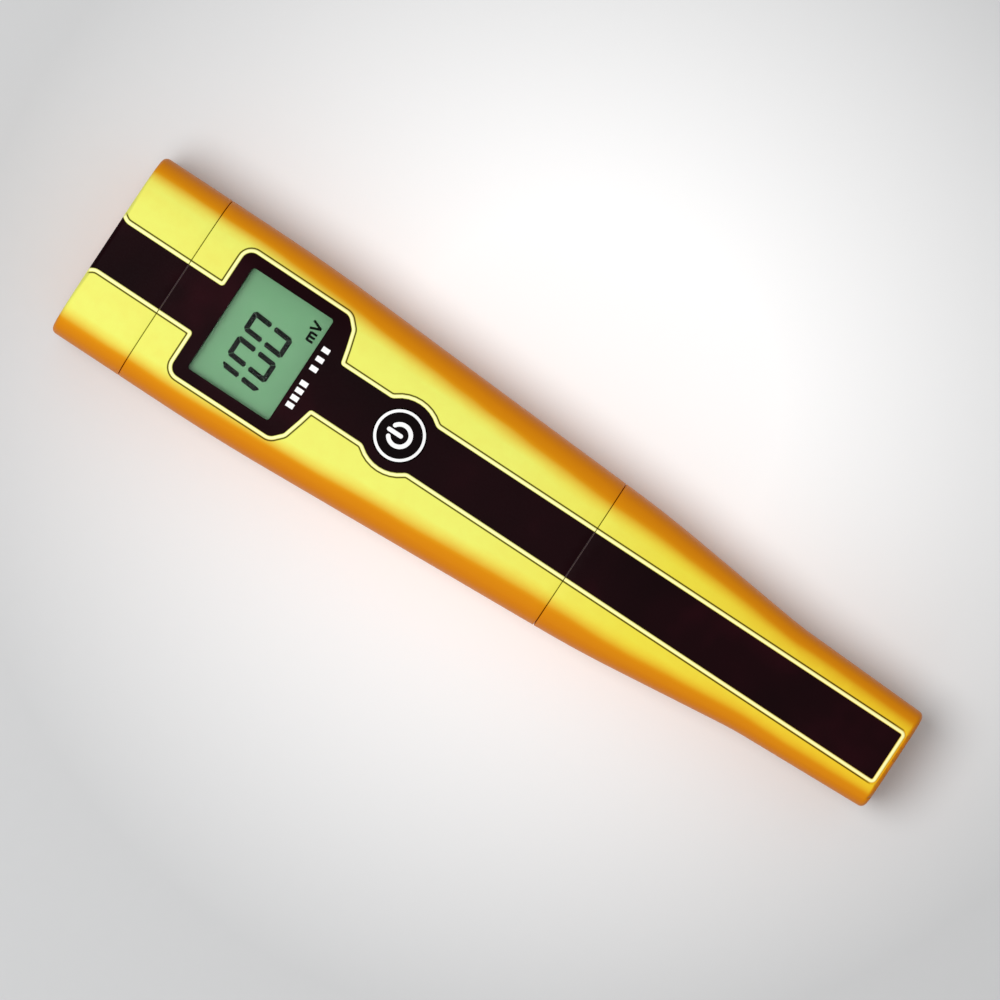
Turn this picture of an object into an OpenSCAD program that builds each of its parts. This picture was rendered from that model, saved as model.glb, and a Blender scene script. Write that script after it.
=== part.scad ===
// Pen-type water tester: a display meter with a pull-off battery cap and a pull-off protective cap.
// It lies on its back. X runs from the battery end to the tip, Z up through the front face.
// Lengths along the pen are called s and are measured from the battery end.

/* [Case] */
// Overall length of the pen
total_len = 190; // [188:1:192]
// Width at the battery end
head_w = 42.1; // [41.5:0.1:43]
// Width where the long taper ends
shoulder_w = 33.1; // [32.5:0.1:34]
// Width where the steep taper ends
waist_w = 25; // [24.6:0.1:25.6]
// Width at the tip
tip_w = 22.6; // [22.2:0.1:23.2]
// Depth of the case at the battery end, back to front
head_depth = 24; // [23.8:0.1:24.6]
// Wall thickness of the case and caps
wall = 1.8; // [1.6:0.1:1.9]
// Exponent of the rounded section: 2 is an ellipse, more is squarer
fullness = 4; // [3.8:0.1:4.4]
// Rounding of the outer end edges
end_round = 1.1; // [0.8:0.1:1.4]

/* [Caps] */
// Length of the battery cap
battery_cap_len = 16.4; // [16:0.1:17]
// Where the protective cap meets the body
cap_start = 114; // [113:0.5:115]
// Visible gap at each cap's seam
seam_gap = 0.15; // [0.1:0.05:0.3]
// Clearance between a neck and its cap
neck_gap = 0.25; // [0.2:0.05:0.3]

/* [Front label] */
// Width of the dark stripe
stripe_w = 10.8; // [10:0.1:11.4]
// Thickness of the label film
label_t = 0.5; // [0.3:0.1:0.6]
// Where the display field starts
field_start = 24.6; // [24:0.1:25]
// Height of the display field across the pen
field_w = 29.3; // [29:0.1:29.6]
// Bare end between the label and the tip
label_tail = 1.95; // [1.8:0.05:2.4]

/* [Display] */
// Start of the visible display
view_start = 27.4; // [27.2:0.1:27.6]
// Visible length along the pen
view_len = 19.5; // [19:0.1:19.8]
// Visible width across the pen
view_w = 24.2; // [23.6:0.1:24.6]

/* [Power key] */
// Centre of the key
key_s = 70.6; // [70:0.1:71]
// Radius of the key
key_r = 5.45; // [5.2:0.05:5.6]
// Travel of the key
key_travel = 0.5; // [0.3:0.1:0.5]

/* [Electrode] */
// Outer radius of the electrode holder
holder_r = 6; // [5.8:0.1:6.2]
// Radius of the sensor glass
glass_r = 4; // [3.8:0.1:4]
// Tip of the guard prongs
guard_end = 160; // [158:1:161]

/* [Battery] */
// Diameter of one button cell
cell_d = 11.6; // [11:0.1:11.6]
// Thickness of one button cell
cell_t = 5.35; // [5:0.05:5.35]

/* [Hidden] */
$fn = 48;

yellow = "gold";
film_black = [0.12, 0.05, 0.07];
brass = [0.85, 0.7, 0.35];
steel = [0.75, 0.76, 0.78];

// The electrode's axis and the parting plane between the two shells
axis_z = 11.5;
// How far the back's curve would dip below the flat it rests on
belly = 0.3;
// Where the outline bends, and over how long each side the bend is eased
bend_s = [39, 124, 159.4, total_len];
bend_soft = [12, 8, 3];
width_at = [head_w, shoulder_w, waist_w, tip_w];
front_at = [head_depth, head_depth - 1.2, head_depth - 2.9, head_depth - 3.8];
back_at = [0, 0, 1.9, 3.3];

// Points in a quarter of a section, and rings along the body and along the protective cap
quarter = 9;
body_rings = 16;
cap_rings = 18;

neck_inset = wall + neck_gap;
neck_inner = neck_inset + 1.75;
battery_neck = 8;
probe_neck = cap_start + 8;
seal_w = 1.4;
battery_seal_s = 11.2;
probe_seal_s = cap_start + 3.4;
seal_depth = 0.9;
slack = 0.1;

board_z = 14.4;
board_t = 1.2;
board_top = board_z + board_t;
board_start = 24.4;
board_end = 90;
board_step = 56;
board_wide = 14.6;
board_slim = 11.4;
board_screw_at = [[53.4, 12.6], [87, 9]];
shell_screw_at = [[21.2, 15], [103.5, 10.8]];
screw_seat = 5;

glass_top = 21.6;
lcd_glass_t = 0.7;
lcd_margin = 1.8;
lcd_half = 13.2;
reflector_t = 0.3;
zebra_w = 1.4;
frame_margin = 1.4;
pane_flange = 1.5;
pane_ledge = 1.25;
rib_t = 1.5;
core_inset = neck_inset + seal_depth + 0.15;
carrier_ribs = [5, 11];
rating_s = 66.2;
rating_len = 29.6;
rating_w = 16.6;

trimmer_s = 60;
trimmer_size = 6.2;
trimmer_low = 11.2;
rotor_r = 1.95;

cell_s = 9.4;
cell_r = cell_d / 2;
stack = 4 * 5.4;
carrier_start = 2.6;
carrier_end = 17;
carrier_half = 14.2;
carrier_up = 6.6;
plate_y = stack / 2 + 0.05;
spring_y = -12.85;
strip_t = 0.35;

holder_start = 91;
flange_s = 94;
flange_t = 2.5;
flange_r = 8;
guard_start = 147;
glass_start = 95;
glass_ball = 152;
ring_s = 149.5;
ring_w = 2.5;
seal_s = 120.4;

// ---- Shape of the case ----

// A ramp that starts at "at" and is eased over "soft" on each side
function ramp(s, at, soft) =
  s <= at - soft ? 0 : s >= at + soft ? s - at : pow(s - at + soft, 2) / (4 * soft);

function slope(v, i) = i < 0 ? 0 : (v[i + 1] - v[i]) / (bend_s[i + 1] - bend_s[i]);

// Straight runs between the values at the bends, eased into each other
function follow(s, v) =
  v[0]
  + (slope(v, 0) - slope(v, -1)) * ramp(s, bend_s[0], bend_soft[0])
  + (slope(v, 1) - slope(v, 0)) * ramp(s, bend_s[1], bend_soft[1])
  + (slope(v, 2) - slope(v, 1)) * ramp(s, bend_s[2], bend_soft[2]);

function half_w(s) = follow(s, width_at) / 2;
function front_top(s) = follow(s, front_at);
function back_low(s) = follow(s, back_at);

// How far an edge of radius r is drawn in at distance d from the end
function edge_in(d, r) = d >= r ? 0 : r - sqrt(r * r - (r - d) * (r - d));
function end_inset(s) = edge_in(s, end_round) + edge_in(total_len - s, end_round);

function curve(c) = sign(c) * pow(abs(c), 2 / fullness);

// The case's section at s, drawn in by inset, as [y, z] points
function section(s, inset) =
  let (
    w = half_w(s) - inset,
    up = front_top(s) - axis_z - inset,
    down = axis_z - back_low(s) - inset + belly
  )
  [
    for (i = [0:4 * quarter - 1])
      let (a = 90 * i / quarter, d = sin(a))
      [
        w * curve(cos(a)),
        max(axis_z + (d >= 0 ? up : down) * curve(d), back_low(s) + inset)
      ]
  ];

// A solid through the sections at rings of [s, inset]
module loft(rings) {
  sections = [for (r = rings) section(r[0], r[1])];
  n = len(sections[0]);
  m = len(rings);
  polyhedron(
    points = [for (k = [0:m - 1]) for (p = sections[k]) [rings[k][0], p[0], p[1]]],
    faces = concat(
      [[for (i = [0:n - 1]) i]],
      [[for (i = [n - 1:-1:0]) (m - 1) * n + i]],
      [
        for (k = [0:m - 2]) for (i = [0:n - 1])
          let (j = (i + 1) % n, a = k * n, b = (k + 1) * n)
          each [[a + i, b + i, b + j], [a + i, b + j, a + j]]
      ]
    )
  );
}

function rings(from, to, count, inset) =
  [for (i = [0:count]) let (s = from + (to - from) * i / count) [s, inset]];

// Rings that turn an outer edge of radius end_round, before the tip or after the battery end
function tip_rings() =
  [for (a = [15:15:90]) let (s = total_len - end_round * (1 - sin(a))) [s, end_inset(s)]];
function head_rings() =
  [for (a = [90:-15:15]) let (s = end_round * (1 - sin(a))) [s, end_inset(s)]];

// Height of the front face, which is the pen's axis beyond its sides
function face_z(s, y) =
  axis_z + (front_top(s) - end_inset(s) - axis_z)
  * pow(max(0, 1 - pow(abs(y) / half_w(s), fullness)), 1 / fullness);

// A layer under the front face between stations, from "top" to "low" below the face
module skin(stations, half, top, low) {
  ys = [for (i = [-8:8]) half * i / 8];
  n = len(ys);
  m = len(stations);
  sheet = function (off) [for (s = stations) for (y = ys) [s, y, face_z(s, y) + off]];
  rim = concat(
    [for (i = [0:n - 1]) i],
    [for (k = [1:m - 1]) k * n + n - 1],
    [for (i = [n - 2:-1:0]) (m - 1) * n + i],
    [for (k = [m - 2:-1:1]) k * n]
  );
  polyhedron(
    points = concat(sheet(top), sheet(low)),
    faces = concat(
      [
        for (k = [0:m - 2]) for (i = [0:n - 2])
          let (a = k * n + i, b = a + n, t = n * m)
          each [
            [a, a + 1, b + 1], [a, b + 1, b],
            [t + a, t + b + 1, t + a + 1], [t + a, t + b, t + b + 1]
          ]
      ],
      [
        for (i = [0:len(rim) - 1])
          let (p = rim[i], q = rim[(i + 1) % len(rim)], t = n * m)
          each [[p, t + p, t + q], [p, t + q, q]]
      ]
    )
  );
}

module box(s0, s1, half, z0, z1) {
  translate([s0, -half, z0]) cube([s1 - s0, 2 * half, z1 - z0]);
}

module both_sides() {
  children();
  mirror([0, 1, 0]) children();
}

// A cylinder along the pen, on the electrode's axis
module along(s0, s1, r) {
  translate([s0, 0, axis_z]) rotate([0, 90, 0]) cylinder(h = s1 - s0, r = r);
}

// ---- Front label outline ----

function unit(v) = v / norm(v);

// Arc of radius r that rounds the corner p between neighbours a and b
function corner(a, p, b, r) =
  let (
    u = unit(a - p), v = unit(b - p), half = acos(u * v) / 2, turn = 180 - 2 * half,
    c = p + unit(u + v) * r / sin(half),
    w0 = p + u * r / tan(half) - c, w1 = p + v * r / tan(half) - c
  )
  [for (i = [0:6]) c + (w0 * sin(turn * (1 - i / 6)) + w1 * sin(turn * i / 6)) / sin(turn)];

// A closed outline from corners of [s, y, radius]
function rounded(c) =
  let (n = len(c), at = function (i) let (p = c[(i + n) % n]) [p[0], p[1]])
  [for (i = [0:n - 1]) each c[i][2] > 0 ? corner(at(i - 1), at(i), at(i + 1), c[i][2]) : [at(i)]];

function mirrored(c) = [for (i = [len(c) - 1:-1:0]) [c[i][0], -c[i][1], c[i][2]]];

stripe_h = stripe_w / 2;
field_end = 48.9;
film_half = 16.5;
label_low = 0.05 - label_t;
field_foot = 52.8;
bulge_r = 7.5;
flare = 0.6;

field_side = [
  [field_start, field_w / 2, 2.1], [field_end, field_w / 2 - 0.1, 2],
  [field_end + 2, field_w / 2 - 2.2, 1.6], [field_end + 3.1, field_w / 2 - 6, 4],
  [field_foot, stripe_h, 0], [field_foot, 0, 0]
];

// Rounds the inside corners of a shape to radius r
module fillet(r) {
  offset(r = -r) offset(delta = r) children();
}

module stripe() {
  translate([0, -stripe_h]) square([total_len - label_tail, stripe_w]);
}

module label_2d(from, to, grow) {
  h = stripe_h + grow;
  intersection() {
    offset(delta = grow) {
      fillet(0.8) {
        stripe();
        polygon(rounded(concat(field_side, mirrored(field_side))));
      }
      fillet(2) {
        stripe();
        translate([key_s, 0]) circle(r = bulge_r);
      }
      polygon([[-1, h + flare], [0, h + flare], [1.3, h], [1.3, -h], [0, -h - flare], [-1, -h - flare]]);
    }
    translate([from, -50]) square([to - from, 100]);
  }
}

// Stations of the label film: close together at the rounded battery end, then even
function film_stations(from, to) =
  from < 1
  ? [for (a = [0:15:75]) end_round * (1 - cos(a)), end_round, 6, 11, to]
  : let (n = ceil((to - from) / 6)) [for (i = [0:n]) from + (to - from) * i / n];

// The film between two stations: grow widens it, low is how deep it goes
module film(from, to, grow, top, low) {
  intersection() {
    translate([0, 0, axis_z]) linear_extrude(head_depth) label_2d(from, to, grow);
    skin(film_stations(from, to), film_half, top, low);
  }
}

// The part of the front wall in a rectangle round the display, between two depths
module pane(margin, top, low) {
  s0 = view_start - margin;
  s1 = view_start + view_len + margin;
  intersection() {
    box(s0, s1, view_w / 2 + margin, axis_z, 30);
    skin(film_stations(s0 - 1, s1 + 1), film_half, top, low);
  }
}

// ---- Case ----

head_seam = battery_cap_len;

outer_rings = concat(
  [
    [battery_neck, neck_inset], [battery_seal_s, neck_inset],
    [battery_seal_s, neck_inset + seal_depth],
    [battery_seal_s + seal_w, neck_inset + seal_depth],
    [battery_seal_s + seal_w, neck_inset], [head_seam, neck_inset]
  ],
  rings(head_seam, cap_start, body_rings, 0),
  [
    [cap_start, neck_inset], [probe_seal_s, neck_inset],
    [probe_seal_s, neck_inset + seal_depth],
    [probe_seal_s + seal_w, neck_inset + seal_depth],
    [probe_seal_s + seal_w, neck_inset], [probe_neck, neck_inset]
  ]
);
cavity_rings = concat(
  [[battery_neck - 1, neck_inner], [head_seam + 1.6, neck_inner]],
  rings(head_seam + 1.6, cap_start - 2, body_rings, wall),
  [[cap_start - 2, neck_inner], [probe_neck - 2, neck_inner]]
);

// Cylinders at mirrored places, from height z0 to z1
module posts(places, r, z0, z1) {
  both_sides() for (at = places) translate([at[0], at[1], z0]) cylinder(h = z1 - z0, r = r);
}

// Ribs that trap the electrode holder's flange, and ribs that hold the battery carrier
module ribs(z0, z1) {
  for (s = [flange_s - slack - rib_t, flange_s + flange_t + slack]) box(s, s + rib_t, 8.6, z0, z1);
  both_sides() for (y = carrier_ribs) translate([9, y, z0]) cube([8, rib_t, z1 - z0]);
}

// The space that bosses and ribs may fill, just under the outer surface
core_rings = concat(
  [[battery_neck + 0.4, core_inset], [head_seam + 0.8, core_inset]],
  rings(head_seam + 0.8, cap_start - 4, 8, 0.8)
);

module case_wall() {
  difference() {
    loft(outer_rings);
    loft(cavity_rings);
  }
}

// What both shells leave free for the electrode and the battery carrier
module room() {
  along(90, probe_neck + 2, holder_r + slack);
  box(2, carrier_end + slack, carrier_half + 1, axis_z - carrier_up - slack, axis_z + carrier_up + slack);
}

module front_shell() color(yellow) {
  difference() {
    intersection() {
      union() {
        case_wall();
        intersection() {
          loft(core_rings);
          union() {
            posts(shell_screw_at, 2.8, axis_z, 30);
            posts(board_screw_at, 2.2, board_top, 30);
            ribs(axis_z, 30);
          }
        }
      }
      box(0, 150, 50, axis_z, 50);
    }
    posts(shell_screw_at, 1.25, 10, 18);
    posts(board_screw_at, 1, 10, 20);
    film(head_seam, cap_start, 0.05, 1, -label_t);
    pane(pane_flange + 0.1, 1, -pane_ledge);
    box(view_start, view_start + view_len, view_w / 2, axis_z, 30);
    box(lcd_s0 - slack, lcd_s1 + slack, lcd_half + slack, axis_z, glass_top + slack);
    translate([key_s, 0, axis_z]) cylinder(h = 20, r = key_r + 0.15);
    room();
  }
}

module rear_shell() color(yellow) {
  difference() {
    intersection() {
      union() {
        case_wall();
        intersection() {
          loft(core_rings);
          union() {
            posts(shell_screw_at, 3.4, 0, axis_z);
            translate([trimmer_s, 0, 0]) cylinder(h = 10, r = 3.2);
            ribs(0, axis_z);
          }
        }
      }
      box(0, 150, 50, -1, axis_z);
    }
    posts(shell_screw_at, 2.7, -1, screw_seat);
    posts(shell_screw_at, 1.4, -1, 20);
    translate([trimmer_s, 0, -1]) cylinder(h = 20, r = rotor_r);
    translate([rating_s - 0.2, -rating_w / 2 - 0.2, -1]) cube([rating_len + 0.4, rating_w + 0.4, 1.3]);
    room();
  }
}

module battery_cap() color(yellow) {
  difference() {
    loft(concat(head_rings(), [[5, 0], [head_seam - seam_gap, 0]]));
    loft([[wall, wall], [5, wall], [head_seam + 1, wall]]);
    film(0, head_seam + 1, 0.05, 1, -label_t);
  }
}

module protective_cap() color(yellow) {
  first = cap_start + seam_gap;
  difference() {
    loft(concat(rings(first, total_len - end_round - 0.1, cap_rings, 0), tip_rings()));
    loft(concat([[cap_start - 1, wall]], rings(first, total_len - 2.5, cap_rings, wall)));
    film(cap_start - 1, total_len - label_tail, 0.05, 1, -label_t);
  }
}

module cap_seal(s) color([0.1, 0.1, 0.1])
  translate([s + 0.1, 0, 0]) rotate([90, 0, 90]) linear_extrude(seal_w - 0.2) difference() {
    polygon(section(s + seal_w, wall + 0.12));
    polygon(section(s, neck_inset + seal_depth - 0.04));
  }

// ---- Labels and window ----

module battery_cap_label() color(film_black) film(0, head_seam - seam_gap, 0, 0, label_low);

module body_label() color(film_black) difference() {
  film(head_seam + 0.05, cap_start - 0.05, 0, 0, label_low);
  box(view_start, view_start + view_len, view_w / 2, axis_z, 30);
  translate([key_s, 0, axis_z]) cylinder(h = 20, r = key_r + 0.15);
}

module protective_cap_label() color(film_black)
  film(cap_start + seam_gap, total_len - label_tail, 0, 0, label_low);

module rating_label() color("gainsboro")
  translate([rating_s, -rating_w / 2, 0.05]) cube([rating_len, rating_w, 0.25]);

module display_window() color([0.8, 0.9, 0.85, 0.4]) {
  pane(-0.06, -0.03, -wall);
  pane(pane_flange, -label_t - 0.03, -pane_ledge + 0.03);
}

// ---- Display module ----

lcd_s0 = view_start - lcd_margin;
lcd_s1 = view_start + view_len + lcd_margin;
lcd_mid = glass_top - lcd_glass_t;
lcd_low = lcd_mid - lcd_glass_t;
zebra_at = [lcd_s0 + 0.2, lcd_s1 - 0.2 - zebra_w];

module lcd_front_glass() color([0.55, 0.75, 0.6, 0.6])
  box(lcd_s0, lcd_s1, lcd_half, lcd_mid, glass_top);

module lcd_rear_glass() color([0.45, 0.68, 0.52, 0.7])
  box(view_start, view_start + view_len, lcd_half, lcd_low, lcd_mid);

module lcd_reflector() color([0.5, 0.7, 0.55])
  box(view_start + 0.2, view_start + view_len - 0.2, lcd_half - 0.2, lcd_low - reflector_t, lcd_low);

module zebra_strips() color("dimgray")
  for (s = zebra_at) box(s, s + zebra_w, 11.5, board_top, lcd_mid);

module lcd_frame() color([0.15, 0.15, 0.16]) difference() {
  box(lcd_s0 - frame_margin, lcd_s1 + frame_margin, lcd_half + 1.7, board_top, glass_top - 1.2);
  box(lcd_s0 - slack, lcd_s1 + slack, lcd_half + slack, lcd_low - reflector_t, 30);
  for (s = zebra_at) box(s - slack, s + zebra_w + slack, 11.6, 10, 30);
  box(view_start + 1, view_start + view_len - 1, 12, 10, 30);
}

// ---- Power key ----

key_face = face_z(key_s, 0) + 0.15;
key_inner = front_top(key_s) - wall;
stem_low = 20.02;
flange_top = key_inner - 0.25;

module power_key() color([0.05, 0.05, 0.06]) translate([key_s, 0, 0]) {
  translate([0, 0, flange_top - 0.8]) cylinder(h = 0.8, r = key_r + 1);
  translate([0, 0, flange_top - 0.1]) cylinder(h = key_face - 0.25 - flange_top + 0.1, r = key_r);
  translate([0, 0, key_face - 0.25]) cylinder(h = 0.25, r1 = key_r, r2 = key_r - 0.25);
  translate([0, 0, stem_low]) cylinder(h = flange_top - 0.5 - stem_low, r = 1.6);
}

switch_top = 19;
plunger_hole = switch_top - 1.8;

module switch_body() color([0.2, 0.2, 0.22]) difference() {
  union() {
    translate([key_s - 3, -3, board_top]) cube([6, 6, switch_top - board_top]);
    for (x = [-1, 1], y = [-1, 1])
      translate([key_s + 2.2 * x - 0.4, y > 0 ? 2.9 : -4.3, board_top]) cube([0.8, 1.4, 0.4]);
  }
  translate([key_s, 0, plunger_hole]) cylinder(h = 5, r = 1.9);
}

module switch_plunger() color([0.9, 0.9, 0.85])
  translate([key_s, 0, plunger_hole + key_travel + 0.05])
    cylinder(h = stem_low - 0.04 - plunger_hole - key_travel - 0.05, r = 1.75);

// ---- Circuit board ----

module main_board() color([0.05, 0.4, 0.2]) difference() {
  union() {
    box(board_start, board_step, board_wide, board_z, board_top);
    box(board_step - 1, board_end, board_slim, board_z, board_top);
  }
  both_sides() for (at = board_screw_at)
    translate([at[0], at[1], board_z - 1]) cylinder(h = 4, r = 1.1);
}

module chip(s, y, size, pins, pitch, z, up) {
  flip = up ? 0 : 1;
  translate([s, y, z]) mirror([0, 0, flip]) {
    translate([-size / 2, -size / 2, 0.15]) cube([size, size, 1.3]);
    for (i = [0:pins - 1], side = [-1, 1]) {
      off = (i - (pins - 1) / 2) * pitch;
      translate([off - 0.2, side > 0 ? size / 2 - 0.1 : -size / 2 - 0.9, 0]) cube([0.4, 1, 0.35]);
    }
  }
}

module microcontroller() color([0.08, 0.08, 0.08]) chip(80, 0, 9, 8, 1, board_top, true);

module amplifier_chip() color([0.08, 0.08, 0.08]) chip(74, 0, 4.6, 4, 1.2, board_z, false);

module crystal() color(steel) hull() for (x = [-3, 3])
  translate([80 + x, 9, board_top]) cylinder(h = 3, r = 1.6);

module chip_capacitors() color([0.75, 0.6, 0.45])
  for (at = [[62, 6], [62, -6], [65, 8.5], [72, 8.5], [72, -8.5], [88, 4], [88, -4]])
    translate([at[0] - 1, at[1] - 0.6, board_top]) cube([2, 1.2, 0.9]);

module trimmer_body() color([0.15, 0.3, 0.65]) difference() {
  translate([trimmer_s - trimmer_size / 2, -trimmer_size / 2, trimmer_low])
    cube([trimmer_size, trimmer_size, board_z - trimmer_low]);
  translate([trimmer_s, 0, trimmer_low - 1]) cylinder(h = 2.5, r = rotor_r + 0.1);
}

module trimmer_rotor() color(brass) translate([trimmer_s, 0, trimmer_low - 0.3]) difference() {
  cylinder(h = 1.75, r = rotor_r);
  translate([-3, -0.3, -1]) cube([6, 0.6, 1.8]);
}

// ---- Screws ----

// A cross-head screw that points up from its seat
module screw(seat, head_r, head_h, shank_r, shank_len) {
  difference() {
    translate([0, 0, seat - head_h]) cylinder(h = head_h, r = head_r);
    for (a = [0, 90]) rotate(a)
      translate([-head_r * 0.55, -0.3, seat - head_h - 1]) cube([head_r * 1.1, 0.6, 1.9]);
  }
  translate([0, 0, seat - 0.1]) cylinder(h = shank_len + 0.1, r = shank_r);
}

module board_screws() color(steel) both_sides() for (at = board_screw_at)
  translate([at[0], at[1], 0]) screw(board_z, 1.9, 1.3, 0.95, 5);

module shell_screws() color(steel) both_sides() for (at = shell_screw_at)
  translate([at[0], at[1], 0]) screw(screw_seat, 2.4, 1.7, 1.2, 12.5);

// ---- Battery ----

module across(y0, y1, r) {
  translate([cell_s, y0, axis_z]) rotate([-90, 0, 0]) cylinder(h = y1 - y0, r = r);
}

module battery_carrier() color([0.18, 0.18, 0.2]) difference() {
  y0 = spring_y - 0.05;
  y1 = plate_y + strip_t + 0.05;
  r = cell_r + 0.1;
  box(carrier_start, carrier_end, carrier_half, axis_z - carrier_up, axis_z + carrier_up);
  across(y0, y1, r);
  translate([0, y0, axis_z - r]) cube([cell_s, y1 - y0, 2 * r]);
  for (y = [y0, plate_y - 0.05])
    translate([cell_s, y, axis_z - 2]) cube([20, strip_t + 0.1, 4]);
}

module button_cell(i) color(steel) {
  y0 = -stack / 2 + (i - 1) * 5.4 + 0.02;
  across(y0, y0 + cell_t - 0.6, cell_r);
  across(y0 + cell_t - 0.7, y0 + cell_t, cell_r - 1.1);
}

// A tube of radius r with n sides along a list of points
module tube(path, r, n) {
  m = len(path);
  dir = function (k) unit(path[min(k + 1, m - 1)] - path[max(k - 1, 0)]);
  side = function (d) unit(cross(d, [0, 1, 0]));
  polyhedron(
    points = [
      for (k = [0:m - 1]) let (d = dir(k), u = side(d), v = cross(d, u))
        for (i = [0:n - 1]) path[k] + r * (u * cos(360 * i / n) + v * sin(360 * i / n))
    ],
    faces = concat(
      [[for (i = [0:n - 1]) i]],
      [[for (i = [n - 1:-1:0]) (m - 1) * n + i]],
      [
        for (k = [0:m - 2]) for (i = [0:n - 1])
          let (j = (i + 1) % n, a = k * n, b = (k + 1) * n)
          each [[a + i, b + i, b + j], [a + i, b + j, a + j]]
      ]
    )
  );
}

// Conical coil that presses on the cells
spring_turns = 2.5;
spring_path = [
  for (i = [0:40])
    let (t = i / 40, a = 360 * spring_turns * t, r = 3.8 - 2 * t)
    [cell_s + r * cos(a), -12.5 + 1.4 * t, axis_z + r * sin(a)]
];

module contact_strip(y) {
  translate([5, y, axis_z - 1.8]) cube([carrier_end - 4.7, strip_t, 3.6]);
}

module battery_spring() color(brass) {
  tube(spring_path, 0.28, 6);
  contact_strip(spring_y);
}

module battery_contact() color(brass) contact_strip(plate_y);

red_route = [
  [17.35, 11, 11.5], [18.4, 10.9, 11.5], [19.8, 10.4, 11.5], [21.6, 9.7, 11.6],
  [23.4, 9, 11.8], [25, 8.6, 12.2], [26.2, 8.5, 12.7], [26.9, 8.5, 13.3], [27.2, 8.5, 13.9],
  [27.2, 8.5, 14.38]
];
black_route = [
  [17.35, -12.65, 11.5], [18.1, -12.2, 11.5], [19.1, -11.3, 11.5], [20.3, -10.5, 11.5],
  [21.8, -9.8, 11.6], [23.4, -9.2, 11.8], [25, -8.7, 12.2], [26.2, -8.5, 12.7], [26.9, -8.5, 13.3],
  [27.2, -8.5, 13.9], [27.2, -8.5, 14.38]
];
lead_route = [
  [91.98, 0, 11.5], [90.6, 0, 11.5], [89.4, 0, 11.6], [88.3, 0, 11.9], [87.4, 0, 12.4],
  [86.8, 0, 13], [86.6, 0, 13.7], [86.6, 0, 14.38]
];

// ---- Electrode ----

module electrode_holder() color([0.16, 0.16, 0.18]) difference() {
  union() {
    along(holder_start, guard_end, holder_r);
    along(flange_s, flange_s + flange_t, flange_r);
  }
  along(holder_start - 1, guard_end + 1, glass_r + 0.05);
  along(guard_start, guard_end + 1, holder_r - 0.9);
  difference() {
    along(seal_s, seal_s + 1.2, holder_r + 1);
    along(seal_s - 1, seal_s + 2, holder_r - 0.9);
  }
  for (a = [0, 90]) translate([guard_start + 2, 0, axis_z]) rotate([a, 0, 0])
    translate([0, -2.6, -10]) cube([20, 5.2, 20]);
  translate([143, 0, axis_z]) cylinder(h = 10, r = 0.62);
}

module electrode_seal() color([0.1, 0.1, 0.1]) difference() {
  along(seal_s + 0.05, seal_s + 1.15, holder_r + 0.08);
  along(seal_s - 1, seal_s + 2, holder_r - 0.88);
}

module sensor_glass() color([0.85, 0.92, 0.95, 0.5]) difference() {
  union() {
    along(glass_start, glass_ball, glass_r);
    translate([glass_ball, 0, axis_z]) sphere(r = glass_r);
  }
  along(glass_start - 1, glass_ball - 2.2, glass_r - 0.9);
  difference() {
    along(ring_s, ring_s + ring_w, glass_r + 1);
    along(ring_s - 1, ring_s + ring_w + 1, glass_r - 0.3);
  }
}

module platinum_ring() color(steel) difference() {
  along(ring_s + 0.02, ring_s + ring_w - 0.02, glass_r + 0.1);
  along(ring_s - 1, ring_s + ring_w + 1, glass_r - 0.28);
}

module reference_junction() color("ivory")
  translate([143, 0, axis_z + glass_r + 0.1]) cylinder(h = holder_r - glass_r - 0.2, r = 0.6);

module reference_wire() color(steel) along(92.2, 145, 0.35);

module electrode_plug() color([0.3, 0.25, 0.2]) difference() {
  along(92, glass_start - 0.05, glass_r);
  along(92.1, glass_start + 1, 0.4);
}

module storage_sponge() color("khaki")
  loft(rings(168.5, total_len - 2.8, 3, wall + 0.2));

// ---- Assembly ----

module show(name) {
  translate([-total_len / 2, 0, 0]) children();
}

show("front_shell") front_shell();
show("rear_shell") rear_shell();
show("battery_cap") battery_cap();
show("protective_cap") protective_cap();
show("battery_cap_label") battery_cap_label();
show("body_label") body_label();
show("protective_cap_label") protective_cap_label();
show("rating_label") rating_label();
show("display_window") display_window();
show("lcd_front_glass") lcd_front_glass();
show("lcd_rear_glass") lcd_rear_glass();
show("lcd_reflector") lcd_reflector();
show("lcd_frame") lcd_frame();
show("zebra_strips") zebra_strips();
show("power_key") power_key();
show("switch_plunger") switch_plunger();
show("switch_body") switch_body();
show("main_board") main_board();
show("microcontroller") microcontroller();
show("amplifier_chip") amplifier_chip();
show("crystal") crystal();
show("chip_capacitors") chip_capacitors();
show("trimmer_body") trimmer_body();
show("trimmer_rotor") trimmer_rotor();
show("board_screws") board_screws();
show("shell_screws") shell_screws();
show("battery_carrier") battery_carrier();
for (i = [1:4]) show(str("button_cell_", i)) button_cell(i);
show("battery_spring") battery_spring();
show("battery_contact") battery_contact();
show("battery_wire_red") color("red") tube(red_route, 0.5, 8);
show("battery_wire_black") color([0.1, 0.1, 0.1]) tube(black_route, 0.5, 8);
show("battery_cap_seal") cap_seal(battery_seal_s);
show("protective_cap_seal") cap_seal(probe_seal_s);
show("electrode_holder") electrode_holder();
show("electrode_seal") electrode_seal();
show("sensor_glass") sensor_glass();
show("platinum_ring") platinum_ring();
show("reference_junction") reference_junction();
show("reference_wire") reference_wire();
show("electrode_plug") electrode_plug();
show("sensor_lead") color([0.15, 0.15, 0.15]) tube(lead_route, 0.6, 8);
show("storage_sponge") storage_sponge();
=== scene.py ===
"""Looks of a pen-type water tester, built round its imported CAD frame.

The pen lies on its back: X runs from the battery end to the tip, Z up through the front face.
Lengths are in millimetres, and s is the distance from the battery end, until a mesh is made.
"""

import math

import bmesh
import bpy
import numpy as np
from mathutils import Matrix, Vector
from mathutils.geometry import delaunay_2d_cdt


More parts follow.
